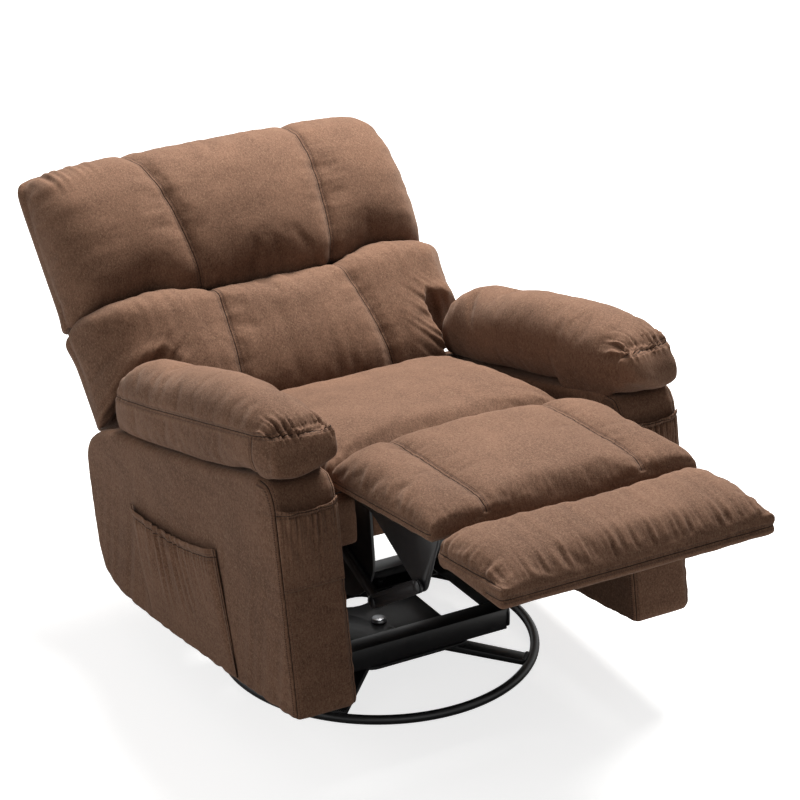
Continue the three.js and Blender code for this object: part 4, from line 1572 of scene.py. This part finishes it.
def side_pocket(side, sign):
    low, height, half = 0.126, 0.216, 0.172
    middle, lean = -0.0645, 0.22

    def place(u, v):
        y = middle + half * u + lean * height * v
        edge = rising(1 - np.abs(u), 0, 0.14) ** 0.6
        bulge = 0.004 * edge * (1 - (2 * v - 1) ** 2) + 0.009 * edge * v**1.6
        short = np.exp(-(1 - v) / 0.13) * (0.6 + 0.4 * (1 - np.abs(u)))
        bulge += 0.0034 * ripple(half * u, 0.0105, 101) * short * edge * (v < 0.93)
        reach = near(u, 0.1, 0.45) * between(v, 0.1, 0.75)
        bulge += 0.0042 * ripple((half * u - 0.02) / (1.45 - 0.45 * v), 0.030, 102) * reach * edge
        bulge -= 0.0024 * near(v, 0.93, 0.012) * edge
        bulge += 0.0014 * near(v, 0.975, 0.02) * edge
        bulge -= 0.0016 * near(np.abs(u), 0.955, 0.02)
        x = ARM_OUT + 0.0022 + np.maximum(bulge, 0)
        sag = 0.013 * (1 - u**2) * between(v, 0.2, 1)
        z = low + height * v - 0.009 * u * between(v, 0, 0.4) - sag
        return np.stack([sign * x, y, z], 1)

    def stitching(x, y, z):
        u = (y - middle - lean * (z - low)) / half
        v = (z + 0.009 * u + 0.013 * (1 - u**2) - low) / height
        edge = np.abs(1 - np.abs(u)) * half
        return np.minimum(np.abs(v - 0.93) * height, edge), np.where(edge < 0.012, z, y)

    name, node = "side_pocket_cloth_" + side, "side_pocket_" + side
    obj = pocket_cloth(name, node, 150, 80, place, stitching)
    return obj


def front_pocket(side, sign):
    low, height, half = 0.343, 0.146, 0.0565
    middle = 0.3405

    def place(u, v):
        z = low + height * v
        face = -0.445 + (z - 0.127) * 0.0701
        edge = rising(1 - np.abs(u), 0, 0.3) ** 0.6
        bulge = 0.004 * edge * (1 - (2 * v - 1) ** 2) + 0.0115 * edge * v**1.5
        short = np.exp(-(1 - v) / 0.36)
        bulge += 0.0052 * ripple(half * u, 0.0095, 111) * short * (v < 0.925) * edge
        bulge += 0.0020 * ripple(half * u + 0.05 * v, 0.03, 112) * edge * between(v, 0.05, 0.6)
        bulge -= 0.0026 * near(v, 0.925, 0.014)
        bulge += 0.0016 * (1 + ripple(half * u, 0.0055, 113)) * near(v, 0.975, 0.02)
        y = face - 0.0024 - np.maximum(bulge, 0)
        return np.stack([sign * middle + half * u, y, z - 0.009 * (1 - u**2) * v**3], 1)

    def stitching(x, y, z):
        v = (z - low) / height
        return np.minimum(np.abs(v - 0.925), v) * height, x

    name, node = "front_pocket_cloth_" + side, "front_pocket_" + side
    obj = pocket_cloth(name, node, 96, 70, place, stitching)
    return obj


class RECLINER_OT_pockets(bpy.types.Operator):
    """Gathered pockets on the arms' sides and fronts"""

    bl_idname = "recliner.pockets"
    bl_label = "Pockets"

    def execute(self, context):
        for side, sign in SIDES:
            side_pocket(side, sign)
            front_pocket(side, sign)
        return {"FINISHED"}


# Linings

LINING_THICKNESS = 0.0004


def lining(name, body, low, high, level):
    """A thin black cloth stapled under a board, between two corners in the body's frame."""

    def place(u, v):
        x = (low[0] + high[0]) / 2 + u / 2 * (high[0] - low[0])
        y = (low[1] + high[1]) / 2 + v / 2 * (high[1] - low[1])
        flat = np.stack([x, y, np.full(len(x), level)], 1)
        flat[:, 2] -= 0.0010 + 0.0009 * drift(flat, 0.09, 121)
        return flat

    obj = cloth_grid(name, 48, 24, LINING_THICKNESS, place)
    dress(obj, "Black lining")
    reveal(obj, body, "upholstery")
    return obj


class RECLINER_OT_linings(bpy.types.Operator):
    """Black cloth under the footrest's boards"""

    bl_idname = "recliner.linings"
    bl_label = "Linings"

    def execute(self, context):
        for part, low, high, level in (
            ("footrest", (-0.194, -0.636), (0.194, -0.352), 0.4755),
            ("flap", (-0.250, -0.884), (0.250, -0.743), 0.4495),
        ):
            lining(part + "_lining", part, low, high, level)
        return {"FINISHED"}


# Studio


# name, place, aim, size, watts and colour
LAMPS = (
    ("Key", (1.3, 1.35, 3.4), (0, -0.1, 0.4), 2.0, 330, (1, 0.985, 0.96)),
    ("Side", (-3.4, 0.3, 1.9), (0, 0, 0.4), 2.4, 30, (1, 0.99, 0.97)),
    ("Front", (-0.6, -4.2, 2.6), (0, -0.1, 0.4), 2.6, 12, (0.97, 0.98, 1)),
)
FILL_STRENGTH = 0.23
GLOSSY_SHARE = 0.6  # how much of the white background the paint mirrors
FLOOR_GREY = (0.62, 0.62, 0.62, 1)
FLOOR_LIFT = 0.74  # glow seen by the camera only, which brings the grey up to white


def soft_lamp(name, at, aim, size, power, colour):
    data = bpy.data.lights.new(name, "AREA")
    data.shape = "DISK"
    data.size = size
    data.energy = power
    data.color = colour
    lamp = linked(name, data)
    lamp.location = at
    lamp.rotation_mode = "QUATERNION"
    lamp.rotation_quaternion = (Vector(aim) - Vector(at)).to_track_quat("-Z", "Y")


CAMERA_TURN = (math.radians(-29.9), math.radians(24.3), math.radians(-0.2))
CAMERA_AIM = (0, SWIVEL_Y, 0.3644)
CAMERA_DISTANCE = 5.4395
CAMERA_SHIFT = (0.0403, 0.1240)


def photo_camera():
    """The camera that took the photograph: in front, to one side, looking down a little."""
    azimuth, elevation, roll = CAMERA_TURN
    level = math.cos(elevation)
    back = Vector((math.sin(azimuth) * level, -math.cos(azimuth) * level, math.sin(elevation)))
    right = Vector((math.cos(azimuth), math.sin(azimuth), 0))
    up = back.cross(right)
    across = right * math.cos(roll) + up * math.sin(roll)
    upward = up * math.cos(roll) - right * math.sin(roll)
    place = Vector(CAMERA_AIM) + back * CAMERA_DISTANCE
    place += across * CAMERA_SHIFT[0] + upward * CAMERA_SHIFT[1]
    data = bpy.data.cameras.new("Photo camera")
    data.lens = 135
    data.sensor_width = 36
    data.clip_start = 0.1
    data.clip_end = 60
    camera = linked("Photo camera", data)
    turn = Matrix((across, upward, back)).transposed()
    camera.matrix_world = Matrix.Translation(place) @ turn.to_4x4()
    bpy.context.scene.camera = camera


def studio_world():
    """White to the camera and in see-through pieces, and a soft fill for everything else."""
    world = bpy.data.worlds.new("Studio")
    world.use_nodes = True
    world.node_tree.nodes.clear()
    w = Wires(world.node_tree)
    path = w.node("ShaderNodeLightPath")
    seen = w.math("MAXIMUM", path.outputs["Is Camera Ray"], path.outputs["Is Transmission Ray"])
    seen = w.math("MAXIMUM", seen, w.math("MULTIPLY", path.outputs["Is Glossy Ray"], GLOSSY_SHARE))
    fill = w.node("ShaderNodeBackground")
    w.fill(fill, Color=(1.0, 0.98, 0.96, 1), Strength=FILL_STRENGTH)
    white = w.node("ShaderNodeBackground")
    w.fill(white, Color=(1, 1, 1, 1), Strength=1.0)
    blend = w.node("ShaderNodeMixShader")
    for socket, value in zip(blend.inputs, (seen, fill.outputs[0], white.outputs[0])):
        w.set(socket, value)
    w.fill(w.node("ShaderNodeOutputWorld"), Surface=blend.outputs[0])
    bpy.context.scene.world = world


def studio_floor():
    bm = bmesh.new()
    bmesh.ops.create_grid(bm, x_segments=8, y_segments=8, size=9)
    floor = finished(bm, "studio_floor", smooth=False)
    floor.location.z = -0.0005
    w, shader, _ = new_material("Pale floor")
    path = w.node("ShaderNodeLightPath")
    w.fill(
        shader,
        Base_Color=FLOOR_GREY,
        Roughness=0.9,
        Specular_IOR_Level=0.1,
        Emission_Color=(1, 1, 1, 1),
        Emission_Strength=w.math("MULTIPLY", path.outputs["Is Camera Ray"], FLOOR_LIFT),
    )
    dress(floor, "Pale floor")


class RECLINER_OT_studio(bpy.types.Operator):
    """Camera, floor, lamps and world"""

    bl_idname = "recliner.studio"
    bl_label = "Studio"

    def execute(self, context):
        photo_camera()
        studio_world()
        studio_floor()
        for lamp in LAMPS:
            soft_lamp(*lamp)
        context.scene.view_settings.view_transform = "Standard"
        return {"FINISHED"}


class RECLINER_PT_panel(bpy.types.Panel):
    """The recliner's sizes, colours and pieces"""

    bl_label = "Recliner"
    bl_idname = "RECLINER_PT_panel"
    bl_space_type = "VIEW_3D"
    bl_region_type = "UI"
    bl_category = "Recliner"

    def draw(self, context):
        column = self.layout.column()
        for group in (context.scene.recliner_sizes, context.scene.recliner_colours):
            for key in group.bl_rna.properties.keys():
                if key not in ("name", "rna_type"):
                    column.prop(group, key)
        for operator in OPERATORS:
            column.operator(operator.bl_idname)


OPERATORS = (
    RECLINER_OT_materials,
    RECLINER_OT_steelwork,
    RECLINER_OT_seat,
    RECLINER_OT_footrest,
    RECLINER_OT_back,
    RECLINER_OT_arms,
    RECLINER_OT_pockets,
    RECLINER_OT_linings,
    RECLINER_OT_studio,
)
CLASSES = (ReclinerSizes, ReclinerColours, *OPERATORS, RECLINER_PT_panel)


def register():
    for cls in CLASSES:
        bpy.utils.register_class(cls)
    bpy.types.Scene.recliner_sizes = bpy.props.PointerProperty(type=ReclinerSizes)
    bpy.types.Scene.recliner_colours = bpy.props.PointerProperty(type=ReclinerColours)


def unregister():
    del bpy.types.Scene.recliner_colours
    del bpy.types.Scene.recliner_sizes
    for cls in reversed(CLASSES):
        bpy.utils.unregister_class(cls)


def main():
    register()
    for operator in OPERATORS:
        module, name = operator.bl_idname.split(".")
        getattr(getattr(bpy.ops, module), name)()


if __name__ == "__main__":
    main()
